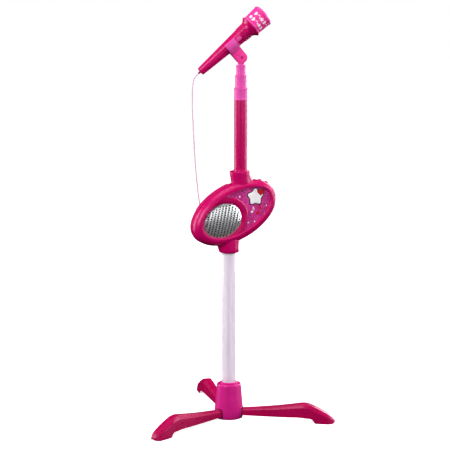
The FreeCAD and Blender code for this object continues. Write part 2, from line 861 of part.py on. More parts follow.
def build_mast():
    height = d.mast_top - d.mast_foot
    bore = d.mast_radius - d.mast_wall
    outside = cylinder("mast_outside", d.mast_radius, height, x=d.mast_x, z=d.mast_foot)
    inside = cylinder("mast_inside", bore, height + 2, x=d.mast_x, z=d.mast_foot - 1)
    keep(cut("mast_hollow", outside, inside), "upper_tube")

    ring = turned(
        "ring_turned",
        [
            (d.mast_radius, d.upper_neck_top),
            (d.mast_radius + 1.2, d.upper_neck_top),
            (d.mast_radius + 1.2, d.upper_neck_top + 4.8),
            (d.mast_radius + 0.4, d.upper_neck_top + 5.8),
            (d.mast_radius, d.upper_neck_top + 5.8),
        ],
    )
    keep(move(ring, d.mast_x), "mast_seat_ring")

    guide = d.middle_radius + d.slide_gap
    collar = turned(
        "collar_turned",
        [
            (guide, d.mast_top - 16),
            (bore - 0.05, d.mast_top - 16),
            (bore - 0.05, d.mast_top),
            (d.collar_radius, d.mast_top),
            (d.collar_radius, d.collar_top - 0.8),
            (d.collar_radius - 0.8, d.collar_top),
            (guide, d.collar_top),
        ],
    )
    keep(move(collar, d.mast_x), "mast_collar")

    seat = d.collar_top + d.stop_gap
    inner = d.top_radius + d.slide_gap
    stage = turned(
        "middle_turned",
        [
            (d.middle_radius - 1.4, 640),
            (d.middle_radius, 640),
            (d.middle_radius, seat),
            (d.middle_head_radius, seat),
            (d.middle_head_radius, d.middle_head_top - 0.8),
            (d.middle_head_radius - 0.8, d.middle_head_top),
            (inner, d.middle_head_top),
            (inner, d.middle_head_top - 15),
            (d.middle_radius - 1.4, d.middle_head_top - 17),
        ],
    )
    keep(move(stage, d.mast_x), "mast_middle_stage")

    seat = d.middle_head_top + d.stop_gap
    socket = 7.0 + d.slide_gap
    stage = turned(
        "top_turned",
        [
            (d.top_radius - 1.7, 660),
            (d.top_radius, 660),
            (d.top_radius, seat),
            (d.top_head_radius, seat),
            (d.top_head_radius, d.top_head_top - 0.8),
            (d.top_head_radius - 0.8, d.top_head_top),
            (socket, d.top_head_top),
            (socket, d.top_head_top - 28),
            (d.top_radius - 1.7, d.top_head_top - 30),
        ],
    )
    keep(move(stage, d.mast_x), "mast_top_stage")


# ---------------------------------------------------------------------------- holder


def build_holder():
    seat = d.top_head_top + d.stop_gap
    shoulder = d.pivot_height - d.ear_radius - 0.5
    stem = turned(
        "stem_turned",
        [
            (0, d.top_head_top - 26),
            (7.0, d.top_head_top - 26),
            (7.0, seat),
            (d.stem_radius, seat),
            (d.stem_radius, shoulder),
            (0, shoulder),
        ],
    )
    move(stem, d.mast_x)
    across = Rotation(Vector(0, 0, 1), SIDE)

    def barrel(name, radius, length):
        start = PIVOT - SIDE * (float(length) / 2)
        return cylinder(name, radius, length, start.x, start.y, start.z, across)

    thick = d.tongue_thickness
    broad = d.stem_radius * 2 - 1.4
    upright_turn = Rotation(LEVEL, -SIDE, Vector(0, 0, 1), "ZXY")
    corner = (
        PIVOT - LEVEL * (float(broad) / 2) + SIDE * (float(thick) / 2)
        - Vector(0, 0, float(d.ear_radius) + 2)
    )
    neck = box("tongue_neck", broad, thick, d.ear_radius + 2, corner.x, corner.y, corner.z,
               upright_turn)
    eye = barrel("tongue_eye", d.ear_radius - 2.4, thick)
    bore = barrel("tongue_bore", d.pin_radius, thick + 4)
    keep(cut("swivel_cut", fuse("swivel_solid", stem, neck, eye), bore), "swivel_stem")
    width = d.ear_gap + d.ear_thickness * 2
    keep(barrel("pin_barrel", d.pin_radius, width - 1.2), "pivot_pin")

    length = d.clip_end - d.clip_start
    wide = radius_at(d.clip_end) + 0.3
    narrow = radius_at(d.clip_start) + 0.3
    outer = wide + d.clip_wall - 1
    sleeve = cylinder("clip_sleeve", outer, length, z=d.clip_start)
    arm = box("clip_arm", d.pivot_across - 14, width, d.ear_radius * 2, 14, -width / 2,
              d.pivot_along - d.ear_radius)
    on_side = Rotation(Vector(1, 0, 0), -90)
    disc = cylinder("clip_disc", d.ear_radius, width, d.pivot_across, -width / 2,
                    d.pivot_along, on_side)
    slot = box("clip_slot", 40, d.ear_gap, 60, d.pivot_across - d.ear_radius - 0.6,
               -d.ear_gap / 2, d.pivot_along - 30)
    cradle = cone("clip_cradle", narrow, wide, length, z=d.clip_start)
    mouth = box("clip_mouth", 30, 60, length + 2, -39, -30, d.clip_start - 1)
    hole = cylinder("clip_hole", d.pin_radius + 0.06, 30, d.pivot_across, -15, d.pivot_along,
                    on_side)
    blank = fuse("clip_blank", sleeve, arm, disc)
    keep(cut("clip_open", blank, cradle, mouth, slot, hole), "microphone_clip", MIC)


# ---------------------------------------------------------------------------- microphone


def build_microphone():
    wall = d.mic_wall
    handle = turned(
        "handle_turned",
        [
            (3.3, 0),
            (d.tail_radius - 1, 0),
            (d.tail_radius, 1),
            (d.neck_radius, d.neck_along),
            (d.neck_radius + 2.3, d.neck_along + 6.5),
            (d.flange_radius - 1.2, d.flange_along - 1.5),
            (d.flange_radius, d.flange_along),
            (d.flange_radius, d.flange_along + 1.7),
            (d.flange_radius - 3.6, d.flange_along + 1.7),
            (d.neck_radius + 0.9, d.neck_along + 8),
            (d.neck_radius - wall, d.neck_along),
            (d.tail_radius - wall, 2.5),
            (3.3, 2.5),
        ],
    )
    back = Rotation(Vector(1, 0, 0), -90)
    forward = Rotation(Vector(1, 0, 0), 90)
    posts = []
    holes = []
    screws = []
    for i, along in enumerate((40.0, 136.0)):
        reach = radius_at(along) - 1
        posts.append(cylinder(f"handle_post_{i}", 3.4, reach * 2, 0, -reach, along, back))
        seat = float(radius_at(along)) - 4
        holes.append(cylinder(f"handle_sink_{i}", 2.6, 20, 0, seat, along, back))
        holes.append(cylinder(f"handle_pilot_{i}", 1.3, seat + 5, 0, -5, along, back))
        blank = screw(f"handle_screw_{i}", seat + 4.5, head_radius=2.5)
        screws.append(move(blank, 0, seat + 1.6, along, forward))
    slot = box("switch_slot", 4.4, 20, 8.6, -2.2, -24, d.switch_along - 2.3)
    solid = cut("handle_drilled", fuse("handle_solid", handle, *posts), slot, *holes)
    near = box("near_half", SPAN, SPAN / 2, SPAN, -SPAN / 2, -SPAN / 2, -SPAN / 4)
    far = box("far_half", SPAN, SPAN / 2, SPAN, -SPAN / 2, 0, -SPAN / 4)
    keep(common("handle_near", solid, near), "handle_front_half", MIC)
    keep(common("handle_far", solid, far), "handle_rear_half", MIC)
    keep(group("handle_screw_set", screws), "handle_screws", MIC)

    seat = d.flange_along + 1.7
    cup = turned(
        "cup_turned",
        [
            (10, seat),
            (d.cup_radius, seat),
            (d.cup_radius, d.cup_along),
            (d.rim_radius, d.rim_along),
            (d.rim_radius - 0.5, d.rim_along + 1.5),
            (d.rim_radius - 2.2, d.rim_along + 1.5),
            (d.cup_radius - 2, d.cup_along),
            (d.cup_radius - 2, seat + 2),
            (10, seat + 2),
        ],
    )
    keep(cup, "head_cup", MIC)
    low = d.rim_along + 1.5
    dome = turned(
        "dome_turned",
        [
            (d.rim_radius - 0.5, low),
            (d.rim_radius - 1.6, low + 2.3),
            (d.rim_radius - 5.4, low + 4.8),
            (d.rim_radius - 13.4, low + 6.7),
            (0, d.dome_along),
            (0, d.dome_along - 1.4),
            (d.rim_radius - 13.8, low + 5.3),
            (d.rim_radius - 6.2, low + 3.5),
            (d.rim_radius - 2.8, low + 1.4),
            (d.rim_radius - 2.2, low),
        ],
    )
    keep(dome, "head_dome", MIC)
    mount = turned(
        "mount_turned",
        [
            (3.6, seat + 2),
            (12, seat + 2),
            (12, seat + 4),
            (7, seat + 6),
            (7, 194),
            (5.05, 194),
            (5.05, 186),
            (3.6, 186),
        ],
    )
    keep(mount, "capsule_mount", MIC)
    keep(cylinder("capsule_can", 5, 11, z=186), "microphone_capsule", MIC)

    skin = float(radius_at(d.switch_along + d.switch_length / 2 + 2)) + 0.3
    middle = d.switch_along
    plate = box("slider_plate", d.switch_width, 2.0, d.switch_length,
                -d.switch_width / 2, -skin - 2.0, middle - d.switch_length / 2)
    plate = rounded("slider_rounded", plate, 0.9, lambda e: is_level(e, -skin - 2.0, axis=1))
    stem = box("slider_stem", 3.8, skin - 13.2, 4, -1.9, -skin, middle - 2)
    keep(fuse("slider_solid", plate, stem), "switch_slider", MIC)
    body = box("switch_block", 9, 5.5, 15, -4.5, -13, middle - 5.5)
    keep(body, "switch_body", MIC)

    relief = turned(
        "relief_turned",
        [
            (0, -7),
            (2.2, -7),
            (3.1, -0.5),
            (3.25, 0),
            (3.25, 2.5),
            (4.5, 2.5),
            (4.5, 5),
            (0, 5),
        ],
    )
    keep(relief, "cord_strain_relief", MIC)


# The cord leaves the tail, hangs down behind the housing and turns up into its grommet.
CORD_ROUTE = [
    (-71.0, 19.8, 845.5),
    (-77.7, 21.1, 839.6),
    (-82.9, 22.1, 828.8),
    (-84.8, 23.0, 806.9),
    (-83.5, 27.0, 764.0),
    (-79.0, 32.0, 706.0),
    (-73.5, 38.5, 648.0),
    (-66.0, 46.0, 590.0),
    (-57.0, 53.0, 535.0),
    (-48.0, 57.5, 495.0),
    (-37.0, 60.0, 466.0),
    (-22.0, 61.5, 455.0),
    (-9.0, 62.5, 463.0),
    (-5.0, 62.0, 479.0),
    (-9.0, 57.0, 491.0),
    (-12.9, 48.0, 493.4),
    (-12.9, 38.0, 493.0),
]


def build_cord():
    """A round cord along straight runs joined by tangent arcs."""
    start = TAIL - ALONG * 7
    route = [start] + [Vector(*p) for p in CORD_ROUTE[1:-1]]
    end = AMP.multVec(Vector(*GROMMET, -38))
    route.append(end)
    edges = []
    radii = []
    here = route[0]
    for before, corner, after in zip(route, route[1:], route[2:]):
        into = (corner - before).normalize()
        out = (after - corner).normalize()
        turn = into.getAngle(out)
        shorter = min((corner - before).Length, (after - corner).Length)
        radius = 0.45 * shorter / math.tan(turn / 2)
        reach = radius * math.tan(turn / 2)
        first = corner - into * reach
        last = corner + out * reach
        bisector = (out - into).normalize()
        centre = corner + bisector * (radius / math.cos(turn / 2))
        middle = centre - bisector * radius
        edges.append(Part.LineSegment(here, first).toShape())
        edges.append(Part.Arc(first, middle, last).toShape())
        radii.append(round(radius, 1))
        here = last
    edges.append(Part.LineSegment(here, route[-1]).toShape())
    path = Part.Wire(edges)
    radius = float(d.cord_radius)
    ring = Part.makeCircle(radius, route[0], (route[1] - route[0]).normalize())
    solid = path.makePipeShell([Part.Wire([ring])], True, False)
    cord = doc.addObject("Part::Feature", "cord_tube")
    cord.Shape = solid
    keep(cord, "microphone_cord")
    expected = math.pi * radius**2 * path.Length
    print("cord radii", radii)
    print(f"cord length {path.Length:.1f}, volume {solid.Volume:.0f}, expected {expected:.0f}")


# ---------------------------------------------------------------------------- output


def main():
    build_base()
    build_light_tube()
    build_shells()
    build_face()
    build_inside()
    build_trim()
    build_mast()
    build_holder()
    build_microphone()
    build_cord()
    doc.recompute()
    for obj in doc.Objects:
        if "Invalid" in obj.State or "Error" in obj.State:
            raise RuntimeError(f"{obj.Name} ({obj.Label}) failed: {obj.State}")
    os.makedirs("parts", exist_ok=True)
    for obj in kept:
        shape = obj.Shape
        if shape.isNull() or not shape.isValid() or not shape.Solids:
            raise RuntimeError(f"{obj.Label} has no valid solid")
        shape.exportStep(f"parts/{obj.Label}.step")
        print(f"{obj.Label}: {len(shape.Solids)} solid(s), {shape.Volume / 1000:.2f} cm3")


main()
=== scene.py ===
"""A toy microphone on its stand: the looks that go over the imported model. Metres, Z up."""

import json
import math

import bmesh
import bpy
from mathutils import Matrix, Vector


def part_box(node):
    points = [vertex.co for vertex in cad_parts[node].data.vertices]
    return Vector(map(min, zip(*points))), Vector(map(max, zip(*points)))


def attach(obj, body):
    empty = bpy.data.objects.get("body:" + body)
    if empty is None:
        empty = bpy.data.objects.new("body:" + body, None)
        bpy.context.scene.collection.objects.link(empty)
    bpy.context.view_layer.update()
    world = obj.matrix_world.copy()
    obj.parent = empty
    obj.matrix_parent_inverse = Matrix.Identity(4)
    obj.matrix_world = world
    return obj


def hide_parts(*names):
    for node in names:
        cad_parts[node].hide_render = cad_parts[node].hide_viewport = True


MM = 0.001
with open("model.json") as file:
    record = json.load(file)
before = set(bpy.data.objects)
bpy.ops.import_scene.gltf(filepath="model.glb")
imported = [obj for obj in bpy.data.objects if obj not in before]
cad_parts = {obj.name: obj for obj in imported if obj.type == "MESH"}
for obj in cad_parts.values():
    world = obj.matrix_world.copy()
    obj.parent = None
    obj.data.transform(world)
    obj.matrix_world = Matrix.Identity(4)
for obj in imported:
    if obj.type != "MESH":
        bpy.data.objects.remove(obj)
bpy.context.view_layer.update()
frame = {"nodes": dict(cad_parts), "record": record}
nodes = frame["nodes"]
joints = {j["name"]: j for j in frame["record"]["behaviour"]["joints"]}


# ------------------------------------------------------------------ where things are


def middle(node):
    low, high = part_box(node)
    return (Vector(low) + Vector(high)) / 2


def lowest(node):
    return Vector(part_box(node)[0])


def highest(node):
    return Vector(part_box(node)[1])


def frame_of(origin, x, z):
    """A matrix whose X and Z axes are given, in millimetres on its inside."""
    x = Vector(x).normalized()
    z = Vector(z).normalized()
    y = z.cross(x)
    turn = Matrix((x, y, z)).transposed().to_4x4()
    return Matrix.Translation(origin) @ turn @ Matrix.Scale(MM, 4)


TILT = math.radians(25.6)
AMP_U = Vector((math.cos(TILT), 0, math.sin(TILT)))
AMP_V = Vector((-math.sin(TILT), 0, math.cos(TILT)))
FACING = Vector((0, -1, 0))
GRILLE = Vector((-39.8, 0.2))  # the speaker's place on the housing, across and up, mm
AMP_ORIGIN = middle("speaker_basket") - AMP_U * GRILLE.x * MM - AMP_V * GRILLE.y * MM
AMP_ORIGIN.y = 0.0
AMP = frame_of(AMP_ORIGIN, AMP_U, FACING)

MAST_X = middle("upper_tube").x
MAST = frame_of((MAST_X, 0, 0), (1, 0, 0), (0, 0, 1))
STAND = frame_of((0, 0, 0), (1, 0, 0), (0, 0, 1))
PIVOT = Vector(joints["clip_tilt"]["pos_m"])
ALONG = Vector(joints["microphone_lift_out"]["axis"])
SIDE = Vector(joints["clip_tilt"]["axis"])
ACROSS = ALONG.cross(SIDE)
PIVOT_ALONG = 95.9  # from the handle's tail to the clip's pin, along the handle, mm
PIVOT_ACROSS = 40.0  # from the handle's axis to the clip's pin, mm
TAIL = PIVOT - ALONG * PIVOT_ALONG * MM - ACROSS * PIVOT_ACROSS * MM
MIC = frame_of(TAIL, ACROSS, ALONG)
HOLDER = frame_of(PIVOT, SIDE.cross(Vector((0, 0, 1))), SIDE)


# ------------------------------------------------------------------ materials


def shader(name):
    """A new material, its node tree and its Principled node."""
    material = bpy.data.materials.new(name)
    material.use_nodes = True
    tree = material.node_tree
    return material, tree, tree.nodes["Principled BSDF"]


def node(tree, kind, inputs=(), **settings):
    made = tree.nodes.new(kind)
    for key, value in settings.items():
        setattr(made, key, value)
    for key, value in dict(inputs).items():
        if isinstance(value, bpy.types.NodeSocket):
            tree.links.new(value, made.inputs[key])
        else:
            made.inputs[key].default_value = value
    return made


def ramp(tree, fac, stops):
    made = node(tree, "ShaderNodeValToRGB", {"Fac": fac})
    elements = made.color_ramp.elements
    while len(elements) < len(stops):
        elements.new(0.5)
    for element, (place, colour) in zip(elements, stops):
        element.position = place
        element.color = (*colour, 1)
    return made.outputs["Color"]


def noise(tree, scale, detail=3.0, roughness=0.5):
    place = node(tree, "ShaderNodeTexCoord").outputs["Object"]
    return node(
        tree,
        "ShaderNodeTexNoise",
        {"Vector": place, "Scale": scale, "Detail": detail, "Roughness": roughness},
    ).outputs["Fac"]


def spread(tree, value, low, high):
    return node(
        tree, "ShaderNodeMapRange", {"Value": value, "To Min": low, "To Max": high}
    ).outputs["Result"]


def shade(colour, factor):
    return tuple(min(1.0, c * factor) for c in colour)


def relief(tree, base, height, strength, distance):
    bump = node(
        tree, "ShaderNodeBump", {"Height": height, "Strength": strength, "Distance": distance}
    )
    tree.links.new(bump.outputs["Normal"], base.inputs["Normal"])


def patterned(tree, base, pattern, stops, rough):
    """Colour and roughness that follow one pattern."""
    tree.links.new(ramp(tree, pattern, stops), base.inputs["Base Color"])
    tree.links.new(spread(tree, pattern, *rough), base.inputs["Roughness"])


def drawn(tree, scale, detail):
    """Noise stretched into fine lines."""
    place = node(tree, "ShaderNodeTexCoord").outputs["Object"]
    lines = node(tree, "ShaderNodeMapping", {"Vector": place, "Scale": scale})
    return node(
        tree, "ShaderNodeTexNoise", {"Vector": lines.outputs["Vector"], "Detail": detail}
    ).outputs["Fac"]


def plastic(name, colour, rough=0.32, scatter=0.0):
    """Moulded plastic: slightly cloudy colour, a fine moulded skin and faint handling marks."""
    material, tree, base = shader(name)
    cloud = noise(tree, 38.0, 4.0)
    stops = [(0.3, shade(colour, 0.92)), (0.7, shade(colour, 1.06))]
    tree.links.new(ramp(tree, cloud, stops), base.inputs["Base Color"])
    marks = noise(tree, 90.0, 5.0, 0.6)
    tree.links.new(spread(tree, marks, rough * 0.85, rough * 1.25), base.inputs["Roughness"])
    relief(tree, base, noise(tree, 700.0, 2.0), 0.03, 0.0001)
    base.inputs["Specular IOR Level"].default_value = 0.36
    base.inputs["Specular Tint"].default_value = (1.0, 0.55, 0.8, 1)
    base.inputs["Coat Weight"].default_value = 0.04
    base.inputs["Coat Roughness"].default_value = 0.12
    base.inputs["Subsurface Weight"].default_value = scatter
    base.inputs["Subsurface Radius"].default_value = (0.006, 0.002, 0.003)
    return material


def metal(name, colour, rough=0.3, metallic=1.0):
    """Plated or drawn metal with fine directional marks."""
    material, tree, base = shader(name)
    marks = drawn(tree, (900, 900, 60), 4.0)
    stops = [(0.25, shade(colour, 0.8)), (0.75, colour)]
    patterned(tree, base, marks, stops, (rough * 0.7, rough * 1.4))
    base.inputs["Metallic"].default_value = metallic
    return material


def clear_plastic(name, colour):
    """Clear extruded plastic with draw lines down its length and a milky tint."""
    material, tree, base = shader(name)
    streak = drawn(tree, (260, 260, 3), 3.0)
    patterned(tree, base, streak, [(0.3, shade(colour, 0.93)), (0.7, colour)], (0.05, 0.16))
    tree.links.new(spread(tree, streak, 0.46, 0.58), base.inputs["Alpha"])
    relief(tree, base, streak, 0.1, 0.0004)
    base.inputs["IOR"].default_value = 1.45
    base.inputs["Coat Weight"].default_value = 0.5
    return material


def glitter(name, low, high):
    """A printed panel with flakes of glitter in the ink, under clear lacquer."""
    material, tree, base = shader(name)
    place = node(tree, "ShaderNodeTexCoord").outputs["Object"]
    flakes = node(tree, "ShaderNodeTexVoronoi", {"Vector": place, "Scale": 520.0})
    blotch = noise(tree, 55.0, 5.0, 0.65)
    ink = ramp(tree, blotch, [(0.35, low), (0.62, high)])
    tone = node(tree, "ShaderNodeSeparateColor", {"Color": flakes.outputs["Color"]})
    spark = ramp(tree, tone.outputs["Red"], [(0.86, (0, 0, 0)), (0.96, (0.75, 0.35, 0.62))])
    mixed = node(
        tree, "ShaderNodeMix", {"Factor": 0.28, "A": ink, "B": spark}, data_type="RGBA",
        blend_type="SCREEN"
    )
    tree.links.new(mixed.outputs["Result"], base.inputs["Base Color"])
    tree.links.new(spread(tree, tone.outputs["Green"], 0.12, 0.5), base.inputs["Roughness"])
    relief(tree, base, tone.outputs["Blue"], 0.35, 0.0003)
    base.inputs["Metallic"].default_value = 0.15
    base.inputs["Coat Weight"].default_value = 0.2
    base.inputs["Coat Roughness"].default_value = 0.05
    return material


def jacket(name, colour):
    """A soft vinyl cord jacket with a faint ripple."""
    material, tree, base = shader(name)
    ripple = noise(tree, 700.0, 3.0)
    stops = [(0.3, shade(colour, 0.9)), (0.7, shade(colour, 1.06))]
    patterned(tree, base, ripple, stops, (0.35, 0.5))
    relief(tree, base, ripple, 0.2, 0.0002)
    return material


def paper(name, colour):
    """Pressed paper or ferrite: matt, with visible fibres."""
    material, tree, base = shader(name)
    fibre = noise(tree, 900.0, 8.0, 0.8)
    stops = [(0.35, shade(colour, 0.6)), (0.7, shade(colour, 1.5))]
    patterned(tree, base, fibre, stops, (0.6, 0.95))
    relief(tree, base, fibre, 0.4, 0.0004)
    return material


MATERIALS = {
    "magenta_shell": plastic("magenta_shell", (0.54, 0.001, 0.115), 0.27),
    "leg_magenta": plastic("leg_magenta", (0.42, 0.0008, 0.07), 0.27),
    "dark_magenta": plastic("dark_magenta", (0.49, 0.001, 0.098), 0.27),
    "hub_plastic": plastic("hub_plastic", (0.62, 0.012, 0.22), 0.34),
    "light_pink": plastic("light_pink", (0.80, 0.085, 0.42), 0.32, scatter=0.05),
    "hot_pink": plastic("hot_pink", (0.90, 0.04, 0.32), 0.28),
    "clear_tube": clear_plastic("clear_tube", (0.95, 0.85, 0.97)),
    "chrome_grille": metal("chrome_grille", (0.88, 0.88, 0.90), 0.26, 0.8),
    "panel_print": glitter("panel_print", (0.46, 0.010, 0.19), (0.72, 0.035, 0.32)),
    "lamp_lens": plastic("lamp_lens", (0.90, 0.50, 0.70), 0.25, scatter=0.3),
    "steel": metal("steel", (0.60, 0.60, 0.62), 0.3),
    "magnet": paper("magnet", (0.07, 0.07, 0.075)),
    "cone_paper": paper("cone_paper", (0.02, 0.02, 0.024)),
    "inner_plastic": plastic("inner_plastic", (0.03, 0.03, 0.035), 0.45),
    "board_green": plastic("board_green", (0.02, 0.16, 0.06), 0.3),
    "cells": plastic("cells", (0.05, 0.06, 0.07), 0.3),
    "cord_pink": jacket("cord_pink", (0.84, 0.50, 0.72)),
    "wire": jacket("wire", (0.30, 0.28, 0.34)),
}
WHITE = plastic("print_white", (0.93, 0.90, 0.93), 0.35)
INK = plastic("print_ink", (0.012, 0.008, 0.012), 0.4)
RED = plastic("print_red", (0.60, 0.004, 0.012), 0.3)
# Near-black painted shade, laid where gaps and holes would look dark from shade.
PAINTED_SHADE = plastic("painted_gap_shade", (0.03, 0.001, 0.010), 0.6)


# ------------------------------------------------------------------ mesh building


def smooth(obj, sharp=32):
    """Smooth shading, broken where faces meet at more than the sharp angle."""
    obj.data.shade_smooth()
    obj.data.set_sharp_from_angle(angle=math.radians(sharp))


def linked(name, data):
    obj = bpy.data.objects.new(name, data)
    bpy.context.scene.collection.objects.link(obj)
    return obj


def clean_mesh(name, verts, faces, place, weld=True):
    """A mesh from points in millimetres in the place's frame, with its normals outward."""
    mesh = bpy.data.meshes.new(name)
    mesh.from_pydata([place @ Vector(v) for v in verts], [], faces)
    work = bmesh.new()
    work.from_mesh(mesh)
    if weld:
        bmesh.ops.remove_doubles(work, verts=work.verts, dist=1e-6)
        bmesh.ops.dissolve_degenerate(work, edges=work.edges, dist=1e-7)
    bmesh.ops.recalc_face_normals(work, faces=work.faces)
    work.to_mesh(mesh)
    work.free()
    return mesh


def piece(name, verts, faces, place, body, slot, stands_for=(), material=None, sharp=32):
    """A finished piece that rides a body and may stand for CAD nodes."""
    obj = linked(name, clean_mesh(name, verts, faces, place))
    smooth(obj, sharp)
    obj.data.materials.append(material or MATERIALS[slot])
    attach(obj, body)
    if stands_for:
        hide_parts(*stands_for)
    return obj


def rounded(points, closed=True, steps=5):
    """An outline of (a, b) or (a, b, radius) points, with its corners turned into arcs."""
    made = []
    count = len(points)
    for i, point in enumerate(points):
        here = Vector(point[:2])
        radius = point[2] if len(point) > 2 else 0.0
        if not closed and i in (0, count - 1):
            radius = 0.0
        if radius <= 0:
            made.append(here)
            continue
        before = Vector(points[i - 1][:2]) - here
        after = Vector(points[(i + 1) % count][:2]) - here
        half = before.angle(after) / 2
        reach = min(radius / math.tan(half), before.length * 0.48, after.length * 0.48)
        start = here + before.normalized() * reach
        end = here + after.normalized() * reach
        for k in range(steps + 1):
            t = k / steps
            made.append(start * (1 - t) ** 2 + here * (2 * t * (1 - t)) + end * t**2)
    return made


def loft(rings, closed=True, caps=(False, False), loop=False):
    """Points and faces of a skin over rings of equal length."""
    size = len(rings[0])
    verts = [v for ring in rings for v in ring]
    faces = []
    pairs = list(zip(range(len(rings)), range(1, len(rings))))
    if loop:
        pairs.append((len(rings) - 1, 0))
    for a, b in pairs:
        for i in range(size if closed else size - 1):
            k = (i + 1) % size
            faces.append((a * size + i, a * size + k, b * size + k, b * size + i))
    if caps[0]:
        faces.append(tuple(reversed(range(size))))
    if caps[1]:
        start = (len(rings) - 1) * size
        faces.append(tuple(range(start, start + size)))
    return verts, faces


def lathe(name, outline, place, body, slot, stands_for=(), steps=96, solid=True, arc=None,
          shift=(0, 0)):
    """A piece turned about the place's Z axis from (radius, height) points, in millimetres."""
    start, end = arc or (0.0, 360.0)
    full = arc is None
    count = steps if full else steps + 1
    rings = []
    for i in range(count):
        angle = math.radians(start + (end - start) * i / steps)
        c, s = math.cos(angle), math.sin(angle)
        rings.append([(p[0] * c + shift[0], p[0] * s + shift[1], p[1]) for p in outline])
    verts, faces = loft(rings, closed=solid, loop=full,
                        caps=(solid and not full, solid and not full))
    return piece(name, verts, faces, place, body, slot, stands_for)


def ellipse(major, minor, height, u=0.0, v=0.0, steps=160):
    """A ring of points round an ellipse, starting at its long end."""
    turns = [math.tau * i / steps for i in range(steps)]
    return [(u + major * math.cos(t), v + minor * math.sin(t), height) for t in turns]


def applied(obj):
    """Turns the object's modifiers into its mesh."""
    bpy.context.view_layer.update()
    seen = obj.evaluated_get(bpy.context.evaluated_depsgraph_get())
    obj.data = bpy.data.meshes.new_from_object(seen)
    obj.modifiers.clear()


def body_of_node(name):
    bodies = frame["record"]["behaviour"]["bodies"]
    return next(body for body, held in bodies.items() if name in held)


def softened(name, node_name, width, slot):
    """A copy of a CAD node with its sharp edges rolled over, to stand for the node."""
    mesh = nodes[node_name].data.copy()
    obj = linked(name, mesh)
    work = bmesh.new()
    work.from_mesh(mesh)
    bmesh.ops.remove_doubles(work, verts=work.verts, dist=2e-6)
    bmesh.ops.dissolve_limit(
        work, angle_limit=math.radians(1.0), verts=work.verts, edges=work.edges
    )
    work.to_mesh(mesh)
    work.free()
    roll = obj.modifiers.new("roll", "BEVEL")
    roll.width = width * MM
    roll.segments = 3
    roll.limit_method = "ANGLE"
    roll.angle_limit = math.radians(35)
    applied(obj)
    obj.data.materials.clear()
    obj.data.materials.append(MATERIALS[slot])
    smooth(obj)
    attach(obj, body_of_node(node_name))
    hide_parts(node_name)
    return obj


def carve(obj, rings, place):
    """Takes the closed skin over the rings out of a piece."""
    verts, faces = loft(rings, caps=(True, True))
    cutter = linked("cutter", clean_mesh("cutter", verts, faces, place, weld=False))
    cut = obj.modifiers.new("cut", "BOOLEAN")
    cut.operation = "DIFFERENCE"
    cut.object = cutter
    cut.solver = "EXACT"
    applied(obj)
    bpy.data.objects.remove(cutter)
    smooth(obj)


# ------------------------------------------------------------------ camera, floor, light


def make_camera():
    """From the front left, a little above the microphone's height, looking slightly down."""
    camera = linked("camera", bpy.data.cameras.new("camera"))
    around = math.radians(22.47)
    away = 3.211
    height = 0.986
    camera.location = (-away * math.sin(around), -away * math.cos(around), height)
    camera.rotation_euler = (math.radians(81.05), 0, math.radians(-22.3))
    camera.data.lens = 107.3
    camera.data.sensor_width = 36.0
    bpy.context.scene.camera = camera


def area_light(name, location, target, size, power):
    light = bpy.data.lights.new(name, "AREA")
    light.shape = "RECTANGLE"
    light.size, light.size_y = size
    light.energy = power
    obj = linked(name, light)
    obj.location = location
    obj.rotation_euler = (Vector(target) - Vector(location)).to_track_quat("-Z", "Y").to_euler()


def make_world():
    """A white backdrop that the camera sees and that lights nothing."""
    scene = bpy.context.scene
    scene.view_settings.view_transform = "Standard"
    world = bpy.data.worlds.new("studio")
    scene.world = world
    world.use_nodes = True
    back = world.node_tree.nodes["Background"]
    back.inputs["Color"].default_value = (1, 1, 1, 1)
    back.inputs["Strength"].default_value = 1.0
    world.cycles_visibility.diffuse = False
    world.cycles_visibility.glossy = False


def make_lights():
    """Soft boxes at the sides and above, with two behind to edge the object."""
    area_light("key", (-3.3, -2.0, 2.5), (0, 0, 0.55), (1.8, 3.0), 165)
    area_light("front", (0.6, -4.2, 1.6), (0, 0, 0.5), (3.0, 2.4), 42)
    area_light("right", (3.2, -1.4, 1.3), (0, 0, 0.5), (1.6, 3.0), 112)
    area_light("top", (0, 0, 3.4), (0, 0, 0), (2.6, 2.6), 55)
    area_light("edge_left", (-2.4, 1.8, 1.0), (0, 0, 0.5), (1.4, 2.6), 70)
    area_light("edge_right", (2.4, 1.2, 1.0), (0, 0, 0.5), (1.4, 2.6), 95)


def make_floor():
    """A white floor that keeps the object's soft shadow and fades into the backdrop."""
    material, tree, base = shader("floor_white")
    speck = noise(tree, 30.0)
    stops = [(0.3, (0.93, 0.93, 0.93)), (0.7, (0.96, 0.96, 0.96))]
    tree.links.new(ramp(tree, speck, stops), base.inputs["Base Color"])
    base.inputs["Roughness"].default_value = 0.6
    base.inputs["Specular IOR Level"].default_value = 0.0
    base.inputs["Emission Color"].default_value = (1, 1, 1, 1)
    place = node(tree, "ShaderNodeTexCoord").outputs["Object"]
    away = node(tree, "ShaderNodeVectorMath", {0: place}, operation="LENGTH").outputs["Value"]
    glow = node(
        tree,
        "ShaderNodeMapRange",
        {"Value": away, "From Min": 0.5, "From Max": 2.2, "To Min": 0.72, "To Max": 1.02},
    ).outputs["Result"]
    tree.links.new(glow, base.inputs["Emission Strength"])
    half = 60.0
    mesh = bpy.data.meshes.new("floor")
    corners = [(-half, -half, 0), (half, -half, 0), (half, half, 0), (-half, half, 0)]
    mesh.from_pydata(corners, [], [(0, 1, 2, 3)])
    floor = linked("floor", mesh)
    floor.data.materials.append(material)
    floor.visible_diffuse = False
    floor.visible_glossy = False


# ------------------------------------------------------------------ the cord

